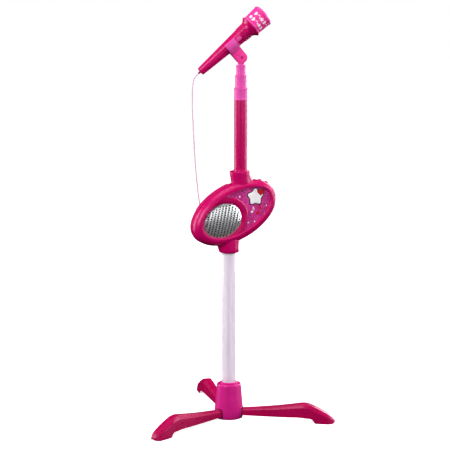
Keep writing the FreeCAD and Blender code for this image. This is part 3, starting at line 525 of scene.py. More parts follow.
# The cord's control points, in metres: the tail, the hanging bend, the box's back.
CORD_ROUTE = [
    (-0.0710, 0.0198, 0.8455),
    (-0.0777, 0.0211, 0.8396),
    (-0.0829, 0.0221, 0.8288),
    (-0.0848, 0.0230, 0.8069),
    (-0.0835, 0.0270, 0.7640),
    (-0.0790, 0.0320, 0.7060),
    (-0.0735, 0.0385, 0.6480),
    (-0.0660, 0.0460, 0.5900),
    (-0.0570, 0.0530, 0.5350),
    (-0.0480, 0.0575, 0.4950),
    (-0.0370, 0.0600, 0.4660),
    (-0.0220, 0.0615, 0.4550),
    (-0.0090, 0.0625, 0.4630),
    (-0.0050, 0.0620, 0.4790),
    (-0.0090, 0.0570, 0.4910),
    (-0.0129, 0.0480, 0.4934),
    (-0.0129, 0.0380, 0.4930),
]


def make_cord():
    """The microphone's lead; it keeps its rest shape and rides the microphone."""
    curve = bpy.data.curves.new("microphone_lead", "CURVE")
    curve.dimensions = "3D"
    curve.bevel_depth = 0.0015
    curve.bevel_resolution = 6
    curve.resolution_u = 16
    curve.use_fill_caps = True
    spline = curve.splines.new("NURBS")
    spline.points.add(len(CORD_ROUTE) - 1)
    for point, place in zip(spline.points, CORD_ROUTE):
        point.co = (*place, 1)
    spline.order_u = 3
    spline.use_endpoint_u = True
    cord = linked("microphone_lead", curve)
    cord.data.materials.append(MATERIALS["cord_pink"])
    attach(cord, "microphone")
    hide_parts("microphone_cord")
    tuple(CORD_ROUTE[0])


# ------------------------------------------------------------------ base


def leg_ring(reach, top, low, half_top, half_low):
    """One cross-section of a leg: a bevelled channel, open underneath."""
    wall = 2.2
    low = max(low, 0.1)
    outline = [
        (-half_low, low),
        (-half_top, top - (top - low) * 0.26, 1.8),
        (-half_top * 0.55, top, 1.6),
        (half_top * 0.55, top, 1.6),
        (half_top, top - (top - low) * 0.26, 1.8),
        (half_low, low), (half_low - wall, low), (half_top * 0.55 - wall * 0.4, top - wall),
        (-half_top * 0.55 + wall * 0.4, top - wall), (-half_low + wall, low),
    ]
    return [(reach, p.x, p.y) for p in rounded(outline, steps=4)]


# Along a leg: reach, top, underside, half width at the shoulder, half width below.
LEG = [
    (27, 24.5, 7.6, 8.4, 9.0),
    (36, 25.5, 7.8, 8.5, 9.0),
    (60, 28.0, 8.3, 9.1, 9.8),
    (110, 34.2, 9.6, 10.9, 11.9),
    (150, 40.4, 11.0, 12.4, 13.8),
    (172, 44.3, 12.2, 13.4, 15.0),
    (184, 46.1, 12.4, 13.9, 15.6),
    (191, 46.2, 12.0, 14.1, 15.8),
    (198, 45.2, 11.6, 14.2, 16.0),
    (208, 42.2, 10.8, 14.2, 16.1),
    (214, 39.9, 6.0, 14.2, 16.3),
    (219, 37.7, 0.3, 14.2, 16.4),
    (234, 30.6, 0.2, 14.0, 16.0),
    (247, 24.0, 0.2, 13.0, 15.1),
    (255, 18.6, 0.4, 11.0, 13.4),
    (260.4, 13.6, 1.2, 8.2, 10.4),
    (263.6, 9.6, 2.6, 5.0, 7.4),
    (264.8, 7.0, 4.4, 2.2, 3.4),
]


def smooth_stations(stations, per_gap=4):
    """More stations between the given ones, on a smooth curve through them."""
    made = []
    count = len(stations)
    for i in range(count - 1):
        p0 = Vector(stations[max(i - 1, 0)])
        p1 = Vector(stations[i])
        p2 = Vector(stations[i + 1])
        p3 = Vector(stations[min(i + 2, count - 1)])
        for k in range(per_gap):
            t = k / per_gap
            made.append(
                0.5
                * (
                    2 * p1
                    + (p2 - p0) * t
                    + (2 * p0 - 5 * p1 + 4 * p2 - p3) * t * t
                    + (3 * p1 - p0 - 3 * p2 + p3) * t**3
                )
            )
    made.append(Vector(stations[-1]))
    return made


def make_leg(name, node_name):
    """A leg along the heading of its CAD node, and a near-black lining at the mouth of its socket
    in the hub: painted shade in the gap.
    """
    toe = middle(node_name)
    heading = math.atan2(toe.y, toe.x)
    place = frame_of((0, 0, 0), (math.cos(heading), math.sin(heading), 0), (0, 0, 1))
    rings = [leg_ring(*station) for station in smooth_stations(LEG)]
    verts, faces = loft(rings, caps=(True, True))
    piece(name, verts, faces, place, "stand", "leg_magenta", (node_name,), sharp=50)
    # A thin near-black arch round the leg at the socket's mouth: painted shade in the gap between
    # leg and hub.
    arch = [
        (-9.9, 1.0), (-9.9, 24.2, 7.0), (9.9, 24.2, 7.0), (9.9, 1.0), (9.2, 1.0),
        (9.2, 23.4, 6.4), (-9.2, 23.4, 6.4), (-9.2, 1.0),
    ]
    outline = rounded(arch, steps=6)
    rings = [[(x, p.x, p.y + 2.6) for p in outline] for x in (31.0, 35.3)]
    verts, faces = loft(rings, caps=(True, True))
    piece(f"{name}_socket_shade", verts, faces, place, "stand", "hub_plastic",
          material=PAINTED_SHADE)


def make_base():
    """The three legs and the tapered hub."""
    for name, node_name in (
        ("right_leg", "leg_right"),
        ("left_leg", "leg_left"),
        ("back_leg", "leg_rear"),
    ):
        make_leg(name, node_name)
    hub = rounded(
        [
            (31.4, 0.2, 0.4), (34.1, 0.3, 1.6), (35.1, 9, 12), (35.15, 20, 14),
            (30.0, 83.4, 1.2), (28.6, 85.9, 0.9), (22.6, 85.9, 0.4), (22.2, 84.2),
            (21.2, 84.2), (20.75, 89.6, 0.8), (19.6, 90.5, 0.5), (17.65, 90.5, 0.3),
            (17.65, 58), (26.6, 58), (32.2, 19, 5), (31.4, 6),
        ]
    )
    lathe("hub_body", hub, STAND, "stand", "hub_plastic", ("base_hub",), steps=128)


# ------------------------------------------------------------------ light tube


def make_light_tube():
    """The clear tube, and the lamp in its reflector at the foot."""
    low = lowest("light_tube").z / MM
    high = highest("light_tube").z / MM
    wall = [
        (17.48, low + 0.2, 0.4), (17.48, high - 0.2, 0.4), (15.95, high - 0.2, 0.4),
        (15.95, low + 0.2, 0.4),
    ]
    lathe("clear_column", rounded(wall), STAND, "stand", "clear_tube", ("light_tube",))
    seat = rounded(
        [
            (1.0, 58.2), (15.8, 58.2), (15.8, 90.5, 1.2), (12.6, 93.8, 1.2),
            (4.0, 93.8, 0.8), (3.2, 90.2), (1.0, 90.2),
        ]
    )
    lathe("reflector_cup", seat, STAND, "stand", "lamp_lens", ("tube_reflector",))
    level = middle("tube_lamp").z / MM
    bead = rounded(
        [
            (0.85, level - 4.9), (2.6, level - 4.9, 0.4), (3.15, level - 3.6, 0.4),
            (3.15, level + 1.4, 0.6), (2.3, level + 3.9, 0.8), (0.85, level + 4.9),
        ]
    )
    lathe("lamp_bead", bead, STAND, "stand", "lamp_lens", ("tube_lamp",), steps=40)


# ------------------------------------------------------------------ speaker box

# All in millimetres in the box's own frame, whose X runs along the long axis.
MAJOR, MINOR = 115.5, 67.0  # the box's half axes
WELL = (94.7, 50.2, 1.3, 2.7)  # the well in its face: half axes, then its centre
FLOOR = 19.0  # the well's floor, forward of the joint between the shells
BEZEL = (62.9, 51.3, -34.8, 1.5)  # the speaker's bezel: half axes, then its centre
MESH = (49.6, 39.9)  # the grille's half axes


def make_front_shell():
    """The front half: side wall, broad convex rim and the sloped wall of the face's well."""
    outer = [
        (0.05, 0.0), (4.0, 0.0), (9.0, 0.15), (13.0, 0.8), (16.5, 2.0), (19.5, 4.0),
        (22.2, 6.6), (24.6, 9.8), (26.0, 13.0), (26.6, 16.0),
    ]
    rings = [ellipse(MAJOR - inset, MINOR - inset, height) for height, inset in outer]
    well = [
        (26.75, 3.2), (26.5, 1.6), (25.8, 0.6), (24.4, 0.0), (22.0, -0.4), (19.2, -0.6),
        (17.6, -0.6),
    ]
    major, minor, u, v = WELL
    rings += [ellipse(major + out, minor + out, height, u, v) for height, out in well]
    verts, faces = loft(rings)
    piece("front_cover", verts, faces, AMP, "stand", "magenta_shell", ("front_shell",), sharp=60)


def make_rear_shell():
    """The back half, hollow, with the battery opening and the screws' sinks cut from it."""
    outside = [
        (-0.15, 0.0), (-5.0, 0.0), (-10.0, 0.2), (-14.0, 1.1), (-17.5, 2.7), (-20.5, 5.0),
        (-23.0, 8.2), (-24.8, 11.8), (-25.7, 15.5), (-25.95, 20.0),
    ]
    inside = [
        (-0.15, 3.0), (-8.0, 3.2), (-16.0, 6.5), (-21.0, 13.0), (-23.2, 21.0),
    ]
    outer, inner = (
        [ellipse(MAJOR - inset, MINOR - inset, height) for height, inset in levels]
        for levels in (outside, inside)
    )
    verts, faces = loft(outer, caps=(False, True))
    inner_verts, inner_faces = loft(inner, caps=(False, True))
    base = len(verts)
    verts = verts + inner_verts
    faces = faces + [tuple(base + i for i in face) for face in inner_faces]
    size = len(outer[0])
    faces += [(i, (i + 1) % size, base + (i + 1) % size, base + i) for i in range(size)]
    shell = piece(
        "rear_cover", verts, faces, AMP, "stand", "magenta_shell", ("rear_shell",), sharp=60
    )
    opening = rounded(
        [(8.2, -25.8, 3), (69.8, -25.8, 3), (69.8, 21.8, 3), (8.2, 21.8, 3)], steps=6
    )
    carve(shell, [[(p.x, p.y, height) for p in opening] for height in (-30, -20)], AMP)
    for u, v in ((-88, 0), (-5, -43), (0, 43), (90, 6), (50, -39)):
        carve(shell, [ellipse(3.1, 3.1, height, u, v, steps=32) for height in (-30, -18.1)], AMP)


def make_necks():
    """The two sockets that the tubes stand in; each flares where it leaves the housing."""
    steps = 120

    def socket(name, levels, place):
        """Rings of (height, radius, spread to the right, spread to the left)."""
        rings = []
        for height, radius, right, left in levels:
            ring = []
            for i in range(steps):
                t = math.tau * i / steps
                c, s = math.cos(t), math.sin(t)
                push = right * max(c, 0) ** 2 - left * max(-c, 0) ** 2
                ring.append((radius * c + push, radius * s, height))
            rings.append(ring)
        verts, faces = loft(rings, caps=(True, True))
        made = piece(name, verts, faces, place, "stand", "magenta_shell", sharp=50)
        major, minor, u, v = WELL
        carve(made, [ellipse(major + 0.6, minor + 0.6, w, u, v) for w in (FLOOR - 1.5, 60.0)], AMP)

    upper = [
        (560, 22.6, 18.5, 0.0), (576, 22.8, 14.5, 0.3), (584, 23.0, 10.6, 0.8),
        (590, 23.2, 7.2, 1.4), (596, 23.5, 3.2, 2.2), (602, 23.8, 0.2, 3.1),
        (607.6, 24.2, -1.8, 3.8), (609.6, 24.1, -2.0, 3.6), (610.8, 23.2, -2.0, 3.4),
        (610.8, 17.3, 0.0, 0.0), (600.0, 16.9, 0.0, 0.0),
    ]
    socket("upper_socket", upper, MAST)
    lower = [
        (470, 25.0, 6.0, 14.0), (446, 25.0, 2.6, 12.4), (438, 25.0, 1.6, 8.4),
        (430, 25.0, 1.0, 4.6), (423, 25.1, 0.8, 1.8), (418, 25.0, 0.2, 0.3),
        (415.2, 24.2, 0.0, 0.0), (413.6, 22.6, 0.0, 0.0), (412.9, 20.4, 0.0, 0.0),
        (412.9, 17.9, 0.0, 0.0), (420.0, 17.6, 0.0, 0.0),
    ]
    socket("lower_socket", lower, STAND)


def make_face():
    """The bezel round the speaker, the printed panel beside it and the lamp's window."""
    major, minor, u, v = BEZEL
    inner_major, inner_minor = 50.4, 40.7
    well_major, well_minor, well_u, well_v = WELL
    profile = rounded(
        [
            (0.0, FLOOR - 0.9), (0.0, FLOOR + 3.6, 1.4), (-2.2, FLOOR + 5.0, 1.4),
            (-8.0, FLOOR + 4.6, 3.0), (-12.6, FLOOR + 2.0, 1.0), (-12.8, FLOOR - 0.9),
        ],
        steps=4,
    )
    rings = []
    for p in profile:
        share = -p.x / 12.8
        ring = []
        for i in range(160):
            t = math.tau * i / 160
            outer = (u + major * math.cos(t), v + minor * math.sin(t))
            inner = (
                GRILLE.x + inner_major * math.cos(t), GRILLE.y + inner_minor * math.sin(t)
            )
            x = outer[0] * (1 - share) + inner[0] * share
            y = outer[1] * (1 - share) + inner[1] * share
            gap = math.hypot((x - well_u) / (well_major - 0.4), (y - well_v) / (well_minor - 0.4))
            if gap > 1:
                x = well_u + (x - well_u) / gap
                y = well_v + (y - well_v) / gap
            ring.append((x, y, p.y))
        rings.append(ring)
    verts, faces = loft(rings, loop=True)
    piece("speaker_ring", verts, faces, AMP, "stand", "dark_magenta", ("speaker_bezel",), sharp=45)

    plate = [
        ellipse(well_major - 0.4, well_minor - 0.4, FLOOR + 1.3, well_u, well_v),
        ellipse(well_major - 0.4, well_minor - 0.4, FLOOR + 0.1, well_u, well_v),
    ]
    verts, faces = loft(plate, caps=(True, True))
    panel = piece("printed_panel", verts, faces, AMP, "stand", "panel_print", ("graphic_panel",))
    levels = (FLOOR - 3, FLOOR + 6)
    carve(panel, [ellipse(major - 2.0, minor - 2.0, height, u, v) for height in levels], AMP)
    lens = rounded([(0, 12), (1.75, 12), (1.75, 20.7, 0.8), (0, 21.7)], closed=False)
    spot = (AMP.inverted() @ middle("power_lamp")).xy
    lathe("lamp_window", lens, AMP, "stand", "lamp_lens", ("power_lamp",), steps=32,
          solid=False, shift=spot)


def dome_height(x, y):
    """The grille's surface above the well's floor, at a place from the grille's centre."""
    away = (x / 49.8) ** 2 + (y / 40.1) ** 2
    return FLOOR + 7.9 * math.sqrt(max(0.0, 1 - away * 0.985))


def make_grille():
    """A domed sheet pierced with slanted rows of round holes, over a dark cloth."""
    pitch_x, pitch_y = 7.9, 5.3
    slant = -TILT - math.radians(13.0)
    hole = 2.1
    corners = 16
    verts = []
    faces = []
    cos_s, sin_s = math.cos(slant), math.sin(slant)

    def turned(a, b):
        """Across and up from the grille's centre, and how far out that is."""
        x = a * cos_s - b * sin_s
        y = a * sin_s + b * cos_s
        return x, y, math.hypot(x / MESH[0], y / MESH[1])

    def put(a, b):
        x, y, reach = turned(a, b)
        if reach > 1:
            x, y = x / reach, y / reach
        rib = 0.25 * math.cos(math.tau * a / pitch_x) * min(1.0, max(0.0, 1.0 - reach) * 8)
        verts.append((GRILLE.x + x, GRILLE.y + y, dome_height(x, y) - 0.25 - rib))
        return len(verts) - 1

    for column in range(-8, 9):
        for row in range(-11, 12):
            a = column * pitch_x
            b = (row + 0.5 * (column % 2)) * pitch_y
            reach = turned(a, b)[2]
            if reach > 1.14:
                continue
            edge = []
            rim = []
            for i in range(corners):
                t = math.tau * (i + 0.5) / corners
                c, s = math.cos(t), math.sin(t)
                scale = min(pitch_x / 2 / max(abs(c), 1e-6), pitch_y / 2 / max(abs(s), 1e-6))
                edge.append(put(a + c * scale, b + s * scale))
                rim.append(put(a + c * hole, b + s * hole))
            for i in range(corners):
                k = (i + 1) % corners
                faces.append((edge[i], edge[k], rim[k], rim[i]))
            if reach > 0.93:
                centre = put(a, b)
                faces += [(rim[i], rim[(i + 1) % corners], centre) for i in range(corners)]
    sheet = piece("grille_sheet", verts, faces, AMP, "stand", "chrome_grille",
                  ("speaker_grille",), sharp=40)
    thick = sheet.modifiers.new("thick", "SOLIDIFY")
    thick.thickness = 0.8 * MM
    thick.offset = -1
    applied(sheet)
    smooth(sheet, 40)
    cloth = []
    for share in (1.0, 0.9, 0.75, 0.55, 0.3, 0.02):
        flat = ellipse(48.8 * share, 39.1 * share, 0.0, steps=96)
        cloth.append(
            [
                (GRILLE.x + x, GRILLE.y + y, max(dome_height(x, y) - 3.2, FLOOR + 0.2))
                for x, y, _ in flat
            ]
        )
    verts, faces = loft(cloth, caps=(False, True))
    piece("grille_cloth", verts, faces, AMP, "stand", "cone_paper")


# ------------------------------------------------------------------ printed art


def star(radius, inner=0.5, round_by=0.25):
    """Five soft points; inner is how far out the notches are."""
    corners = []
    for i in range(10):
        reach = radius if i % 2 == 0 else radius * inner
        angle = math.radians(90 + 36 * i)
        corners.append((reach * math.cos(angle), reach * math.sin(angle), radius * round_by))
    return [tuple(p) for p in rounded(corners, steps=4)]


def heart(size):
    made = []
    for i in range(40):
        t = math.tau * i / 40
        x = 16 * math.sin(t) ** 3
        y = 13 * math.cos(t) - 5 * math.cos(2 * t) - 2 * math.cos(3 * t) - math.cos(4 * t)
        made.append((x * size / 16, y * size / 16))
    return made


def oval_ring(a, b, turn=0.0, x=0.0, y=0.0, steps=28):
    c, s = math.cos(turn), math.sin(turn)
    made = []
    for i in range(steps):
        t = math.tau * i / steps
        p, q = a * math.cos(t), b * math.sin(t)
        made.append((x + p * c - q * s, y + p * s + q * c))
    return made


def stroke(points, width):
    """A band round an open line of points."""
    left = []
    right = []
    for i, p in enumerate(points):
        a = Vector(points[max(i - 1, 0)])
        b = Vector(points[min(i + 1, len(points) - 1)])
        across = (b - a).normalized().orthogonal() * width / 2
        left.append(tuple(Vector(p) + across))
        right.append(tuple(Vector(p) - across))
    return left + right[::-1]


def note(size):
    """A quaver: a tilted head, a stem and a flag."""
    head = oval_ring(size * 0.34, size * 0.25, 0.4, -size * 0.12, -size * 0.7)
    stem = stroke([(size * 0.17, -size * 0.62), (size * 0.17, size * 0.75)], size * 0.12)
    flag = stroke(
        [
            (size * 0.15, size * 0.72), (size * 0.36, size * 0.42),
            (size * 0.52, size * 0.18), (size * 0.44, -size * 0.12),
        ],
        size * 0.2,
    )
    return [head, stem, flag]


def decal(name, shapes, wrap, body, slot, material, thickness=0.25):
    """Flat shapes laid on a surface; wrap(x, y, lift) gives each point's place."""
    verts = []
    faces = []
    for shape in shapes:
        centre = (sum(p[0] for p in shape) / len(shape), sum(p[1] for p in shape) / len(shape))
        start = len(verts)
        size = len(shape)
        for share, lift in ((1.0, 0.0), (0.96, thickness), (0.6, thickness), (0.25, thickness)):
            for p in shape:
                x = centre[0] + (p[0] - centre[0]) * share
                y = centre[1] + (p[1] - centre[1]) * share
                verts.append(wrap(x, y, lift))
        for ring in range(3):
            for i in range(size):
                k = (i + 1) % size
                a = start + ring * size
                faces.append((a + i, a + k, a + size + k, a + size + i))
        faces.append(tuple(start + 3 * size + i for i in range(size)))
    place = Matrix.Scale(1, 4)
    piece(name, verts, faces, place, body, slot, material=material)


def on_panel(centre, level):
    """Places art on the panel, upright, about a centre given across and up from the housing."""
    across, upward = Vector((1, 0, 0)), Vector((0, 0, 1))
    base = AMP_ORIGIN + (across * centre[0] + upward * centre[1]) * MM + FACING * level * MM

    def wrap(x, y, lift):
        return base + (across * x + upward * y + FACING * lift) * MM

    return wrap


def moved(shape, x, y, grow=1.0):
    return [(p[0] * grow + x, p[1] * grow + y) for p in shape]


def make_art():
    """A plain printed star with a heart, music notes and small stars round it."""
    level = FLOOR + 1.3
    big = star(23.5, inner=0.62, round_by=0.34)
    star_at, heart_at = (49, 38), (14, 11)
    for name, shapes, centre, lift, ink, thickness in (
        ("star_outline", [moved(big, 0, 0, 1.16)], star_at, 0.0, INK, 0.15),
        ("star_print", [big], star_at, 0.12, WHITE, 0.25),
        ("heart_edges", [moved(heart(9.8), *heart_at)], star_at, 0.3, INK, 0.15),
        ("heart_print", [moved(heart(8.4), *heart_at)], star_at, 0.42, RED, 0.25),
        ("note_print", note(14), (56, 8), 0.0, RED, 0.25),
        ("note_white", note(9), (41, 8), 0.0, WHITE, 0.25),
    ):
        decal(name, shapes, on_panel(centre, level + lift), "stand", "panel_print", ink,
              thickness=thickness)
    tiny = [
        moved(star(2.6), x, y)
        for x, y in ((-4, 34), (8, 40), (78, 16), (74, -4), (47, -22), (30, -24), (68, 50))
    ]
    decal("tiny_stars", tiny, on_panel((0, 0), level), "stand", "panel_print", WHITE)


# ------------------------------------------------------------------ on the speaker box


def make_bar():
    """The raised bar that follows the housing's upper edge."""
    section = rounded(
        [(-0.4, -8.8), (2.6, -8.8, 1.2), (3.4, -6.0, 2.0), (3.4, 2.0, 2.0), (2.6, 4.9, 1.2),
         (-0.4, 4.9)],
        steps=4,
    )
    rings = []
    right_end, left_end = 19.0, -82.0
    first = math.acos(right_end / MAJOR)
    last = math.acos(left_end / MAJOR)
    steps = 72
    for i in range(steps + 1):
        t = first + (last - first) * i / steps
        ease = min(1.0, min(i, steps - i) / 3 + 0.45)
        out = Vector((MINOR * math.cos(t), MAJOR * math.sin(t))).normalized()
        ring = []
        for p in section:
            stand = min(p.x * ease, 3.4)
            ring.append((MAJOR * math.cos(t) + out.x * stand,
                         MINOR * math.sin(t) + out.y * stand, p.y * (0.9 + 0.1 * ease)))
        rings.append(ring)
    verts, faces = loft(rings, caps=(True, True))
    piece("edge_strip", verts, faces, AMP, "stand", "magenta_shell", ("edge_bar",), sharp=50)


def make_buttons():
    softened("play_cap", "play_button", 0.7, "magenta_shell")
    softened("volume_cap", "volume_button", 0.7, "magenta_shell")


def make_grommet():
    """The ribbed boot where the cord enters the back of the box."""
    spot = (AMP.inverted() @ middle("cord_grommet")).xy
    outline = rounded(
        [
            (1.5, -37.9), (2.3, -37.9, 0.4), (2.7, -34.5, 0.3), (2.4, -34.0, 0.2),
            (2.9, -31.5, 0.3), (2.7, -31.0, 0.2), (3.5, -28.2, 0.8), (5.1, -27.5, 0.5),
            (5.1, -26.0), (1.5, -26.0),
        ]
    )
    lathe("cord_entry", outline, AMP, "stand", "dark_magenta", ("cord_grommet",), steps=40,
          shift=spot)


# ------------------------------------------------------------------ mast and holder


def make_mast():
    """The upper tube with its foot ring and collar, and the two stages that slide in it."""
    low = lowest("upper_tube").z / MM
    high = highest("upper_tube").z / MM
    tube = rounded([(16.15, low, 0.3), (16.15, high - 0.1, 0.3), (14.7, high - 0.1), (14.7, low)])
    lathe("mast_tube", tube, MAST, "stand", "dark_magenta", ("upper_tube",))
    foot = highest("mast_seat_ring").z / MM
    ring = rounded(
        [(16.2, foot - 5.8), (17.35, foot - 5.8, 0.3), (17.35, foot - 1.4, 0.9),
         (16.6, foot - 0.1, 0.4), (16.2, foot - 0.1)]
    )
    lathe("mast_foot_ring", ring, MAST, "stand", "magenta_shell", ("mast_seat_ring",))

    top = highest("mast_collar").z / MM
    base = top - 28.7
    collar = rounded(
        [
            (12.7, base - 15.9), (14.5, base - 15.9), (14.5, base), (16.7, base + 0.1, 0.7),
            (16.75, base + 2.6, 0.3), (16.2, base + 3.1, 0.2), (16.2, top - 4.3, 0.2),
            (16.75, top - 4.0, 0.3), (16.7, top - 0.1, 0.9), (12.7, top - 0.1),
        ]
    )
    lathe("collar_ring", collar, MAST, "stand", "light_pink", ("mast_collar",))

    def stage(name, node_name, body, tube_radius, head_radius, bore, head_height):
        bottom = lowest(node_name).z / MM
        up = highest(node_name).z / MM
        seat = up - head_height
        outline = rounded(
            [
                (bore, bottom + 0.1), (tube_radius, bottom + 0.1, 0.4), (tube_radius, seat),
                (head_radius - 0.05, seat + 0.1, 0.5),
                (head_radius - 0.05, seat + 2.8, 0.2), (head_radius - 0.6, seat + 3.0, 0.2),
                (head_radius - 0.6, up - 4.2, 0.2), (head_radius - 0.05, up - 4.0, 0.3),
                (head_radius - 0.05, up - 0.1, 0.8), (bore, up - 0.1),
            ]
        )
        lathe(name, outline, MAST, body, "light_pink", (node_name,))

    stage("middle_stage", "mast_middle_stage", "mast_middle", 12.55, 14.4, 9.75, 30.3)
    stage("top_stage", "mast_top_stage", "mast_top", 9.55, 12.0, 7.1, 24.0)


def make_holder():
    """The swivelling tongue, the pin through it and the forked clip."""
    softened("stem_tongue", "swivel_stem", 0.5, "light_pink")
    pin = rounded([(0, -8.2), (2.95, -8.2, 0.6), (2.95, 8.2, 0.6), (0, 8.2)], closed=False)
    lathe("pin_rod", pin, HOLDER, "holder", "dark_magenta", ("pivot_pin",), steps=40,
          solid=False)
    clip = softened("clip_cradle", "microphone_clip", 0.8, "hot_pink")
    clip.data.materials.append(MATERIALS["light_pink"])
    to_clip = MIC.inverted()
    sleeve_radius = 19.8
    for face in clip.data.polygons:
        if (to_clip @ face.center).x < sleeve_radius:
            face.material_index = 1
    for name, side in (("near_pin_ring", 1.0), ("far_pin_ring", -1.0)):
        ring = rounded([(3.2, 9.0 * side), (3.2, 9.75 * side, 0.3), (5.2, 9.75 * side, 0.4),
                        (5.6, 9.0 * side)], steps=4)
        lathe(name, ring, HOLDER, "clip", "hot_pink", steps=48)


# ------------------------------------------------------------------ microphone


def handle_radius(along):
    """The handle tapers evenly from its top, 148 mm up, to its tail."""
    return 10.05 + (18.9 - 10.05) * along / 148.0


def grip_rings():
    """Shallow raised bands round the upper grip."""
    made = []
    for i in range(4):
        along = 129.6 + i * 4.5
        for step, rise in ((0.0, -0.3), (0.6, 0.9), (2.5, 0.9), (3.1, -0.3)):
            made.append((handle_radius(along + step) + rise, along + step, 0.2))
    return made


def make_handle():
    """The two halves of the handle, the seam between them and the switch's slot."""
    outline = rounded(
        [
            (3.35, 0.05), (8.8, 0.05, 0.8), (10.05, 1.6, 1.0),
            *grip_rings(),
            (18.85, 148.0, 6), (20.6, 153.6, 3), (26.3, 159.4, 1.0), (27.5, 160.8, 0.5),
            (27.5, 162.3, 0.3), (24.2, 162.3), (20.2, 156.4), (17.1, 148.0), (8.3, 2.6),
            (3.35, 2.6),
        ],
        steps=8,
    )
    gap = 0.35  # degrees left open on each side of the seam
    front, _ = (
        lathe(name, outline, MIC, "microphone", "magenta_shell", (node_name,), steps=72,
              arc=(start + gap, start + 180.0 - gap))
        for name, node_name, start in (
            ("grip_front", "handle_front_half", 180.0),
            ("grip_rear", "handle_rear_half", 0.0),
        )
    )
    seam = rounded([(9.7, 1.0), (18.4, 147.6, 10), (20.2, 153.8, 3), (24.6, 159.6), (18, 156),
                    (9.2, 1.0)])
    within = lathe("grip_seam", seam, MIC, "microphone", "dark_magenta", steps=72)
    slot = rounded([(-2.2, 116.2, 1.0), (2.2, 116.2, 1.0), (2.2, 124.8, 1.0),
                    (-2.2, 124.8, 1.0)])
    for made in (front, within):
        carve(made, [[(p.x, depth, p.y) for p in slot] for depth in (-24.0, -8.0)], MIC)


def make_slider():
    """The sliding switch cap, with grip ribs."""
    low, high = 112.3, 124.7
    face = -20.0
    pitch = 2.1
    verts = []
    faces = []

    def block(x0, x1, y0, y1, z0, z1, edge):
        outline = rounded([(x0, z0, edge), (x1, z0, edge), (x1, z1, edge), (x0, z1, edge)],
                          steps=4)
        mid = Vector(((x0 + x1) / 2, (z0 + z1) / 2))
        rings = []
        for share, depth in ((1.0, y1), (1.0, y0 + 0.5), (0.96, y0 + 0.12), (0.88, y0)):
            rings.append([(mid.x + (p.x - mid.x) * share, depth, mid.y + (p.y - mid.y) * share)
                          for p in outline])
        got_verts, got_faces = loft(rings, caps=(True, True))
        start = len(verts)
        verts.extend(got_verts)
        faces.extend([tuple(start + i for i in f) for f in got_faces])

    block(-4.65, 4.65, face + 0.55, -18.0, low, high, 1.6)
    for i in range(5):
        middle_z = (low + high) / 2 + (i - 2) * pitch
        block(-3.6, 3.6, face + 0.03, face + 1.2, middle_z - 0.55, middle_z + 0.55, 0.4)
    block(-1.85, 1.85, -18.2, -13.3, 116.6, 120.4, 0.3)
    piece("switch_cap", verts, faces, MIC, "switch", "light_pink", ("switch_slider",), sharp=40)


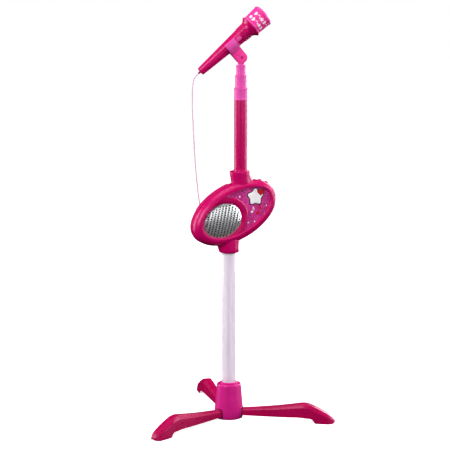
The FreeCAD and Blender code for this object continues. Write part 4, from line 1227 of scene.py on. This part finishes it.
def make_head():
    """The flared cup, the line round its base and the domed cap, whose small holes are dots of
    painted shade.
    """
    cup = rounded(
        [
            (10.2, 162.6), (24.4, 162.6, 0.5), (25.15, 163.6, 0.3), (25.15, 166.2, 0.3),
            (24.75, 166.8, 0.2), (26.6, 196.6, 0.3), (26.2, 197.2, 0.2), (26.3, 198.2, 0.2),
            (27.3, 198.9, 0.4), (27.3, 200.6, 0.5), (26.8, 201.4), (25.0, 201.4),
            (23.2, 166.8), (23.2, 164.6), (10.2, 164.6),
        ],
        steps=4,
    )
    lathe("head_shell", cup, MIC, "microphone", "hot_pink", ("head_cup",), steps=128)
    edge = rounded(
        [(25.1, 163.3), (25.55, 163.6, 0.3), (25.55, 165.9, 0.3), (25.1, 166.2)], steps=3
    )
    lathe("head_base_line", edge, MIC, "microphone", "light_pink", steps=128)
    dome = [
        (26.85, 201.55), (26.6, 202.4), (25.7, 203.8), (23.8, 205.2), (20.5, 206.5),
        (16.0, 207.6), (10.0, 208.4), (4.5, 208.75), (0.0, 208.85), (0.0, 207.4),
        (13.0, 206.6), (20.5, 205.0), (24.4, 202.9), (25.1, 201.55),
    ]
    lathe("head_cap", [Vector(p) for p in dome], MIC, "microphone", "light_pink",
          ("head_dome",), steps=128)
    # The cap's holes are not cut: near-black dots laid on the dome are painted shade standing for
    # them.
    holes = []
    for ring, radius in enumerate((0.0, 4.6, 9.2, 13.8, 18.4, 22.6)):
        count = max(1, ring * 7)
        for i in range(count):
            t = math.tau * (i + ring * 0.37) / count
            holes.append(
                oval_ring(0.85, 0.85, 0, radius * math.cos(t), radius * math.sin(t), steps=14)
            )

    def on_dome(x, y, lift):
        away = math.hypot(x, y)
        height = 208.85 - 0.0085 * away**2 - 0.0000105 * away**4
        return MIC @ Vector((x, y, height + lift))

    decal("cap_hole_shade", holes, on_dome, "microphone", "light_pink", PAINTED_SHADE, thickness=0.05)


def on_cup(x, y, lift):
    """Wraps art round the head: x runs round it, y along it; 0, 0 is at the switch's side."""
    along = 181.5 + y
    radius = 24.75 + (26.6 - 24.75) * (along - 166.8) / 29.8 + lift
    angle = -math.pi / 2 + x / 25.7
    return MIC @ Vector((radius * math.cos(angle), radius * math.sin(angle), along))


def make_head_art():
    """Two rows of plain printed stars, hearts and notes round the head."""

    def upright(shape):
        return [(-y, x) for x, y in shape]

    kinds = ([star(5.6)], [upright(heart(4.6))], [upright(part) for part in note(5.8)])
    shapes = []
    for row, along in enumerate((-6.8, 6.8)):
        for i in range(5):
            x = (i - 2) * 10.2 + (2.0 if row else -2.0)
            shapes += [moved(shape, x, along) for shape in kinds[(i + row) % 3]]
    decal("head_print", shapes, on_cup, "microphone", "hot_pink", WHITE, thickness=0.12)


def make_relief():
    """The ribbed boot where the cord leaves the tail."""
    outline = rounded(
        [
            (1.5, -6.9), (2.15, -6.9, 0.3), (2.5, -4.8, 0.2), (2.2, -4.3, 0.2),
            (2.75, -2.6, 0.2), (2.5, -2.1, 0.2), (3.2, 0.0, 0.3), (3.2, 2.4), (4.4, 2.6),
            (4.4, 4.9), (1.5, 4.9),
        ]
    )
    lathe("relief_boot", outline, MIC, "microphone", "dark_magenta", ("cord_strain_relief",),
          steps=40)


# ------------------------------------------------------------------ everything

make_camera()
make_world()
make_lights()
make_floor()
make_cord()
slots = {s["node"]: s["material_slot"] for s in frame["record"]["subparts"]}
for name, obj in nodes.items():
    obj.data.materials.clear()
    obj.data.materials.append(MATERIALS[slots[name]])
make_base()
make_light_tube()
make_front_shell()
make_rear_shell()
make_necks()
make_face()
make_grille()
make_art()
make_bar()
make_buttons()
make_grommet()
make_mast()
make_holder()
make_handle()
make_slider()
make_head()
make_head_art()
make_relief()
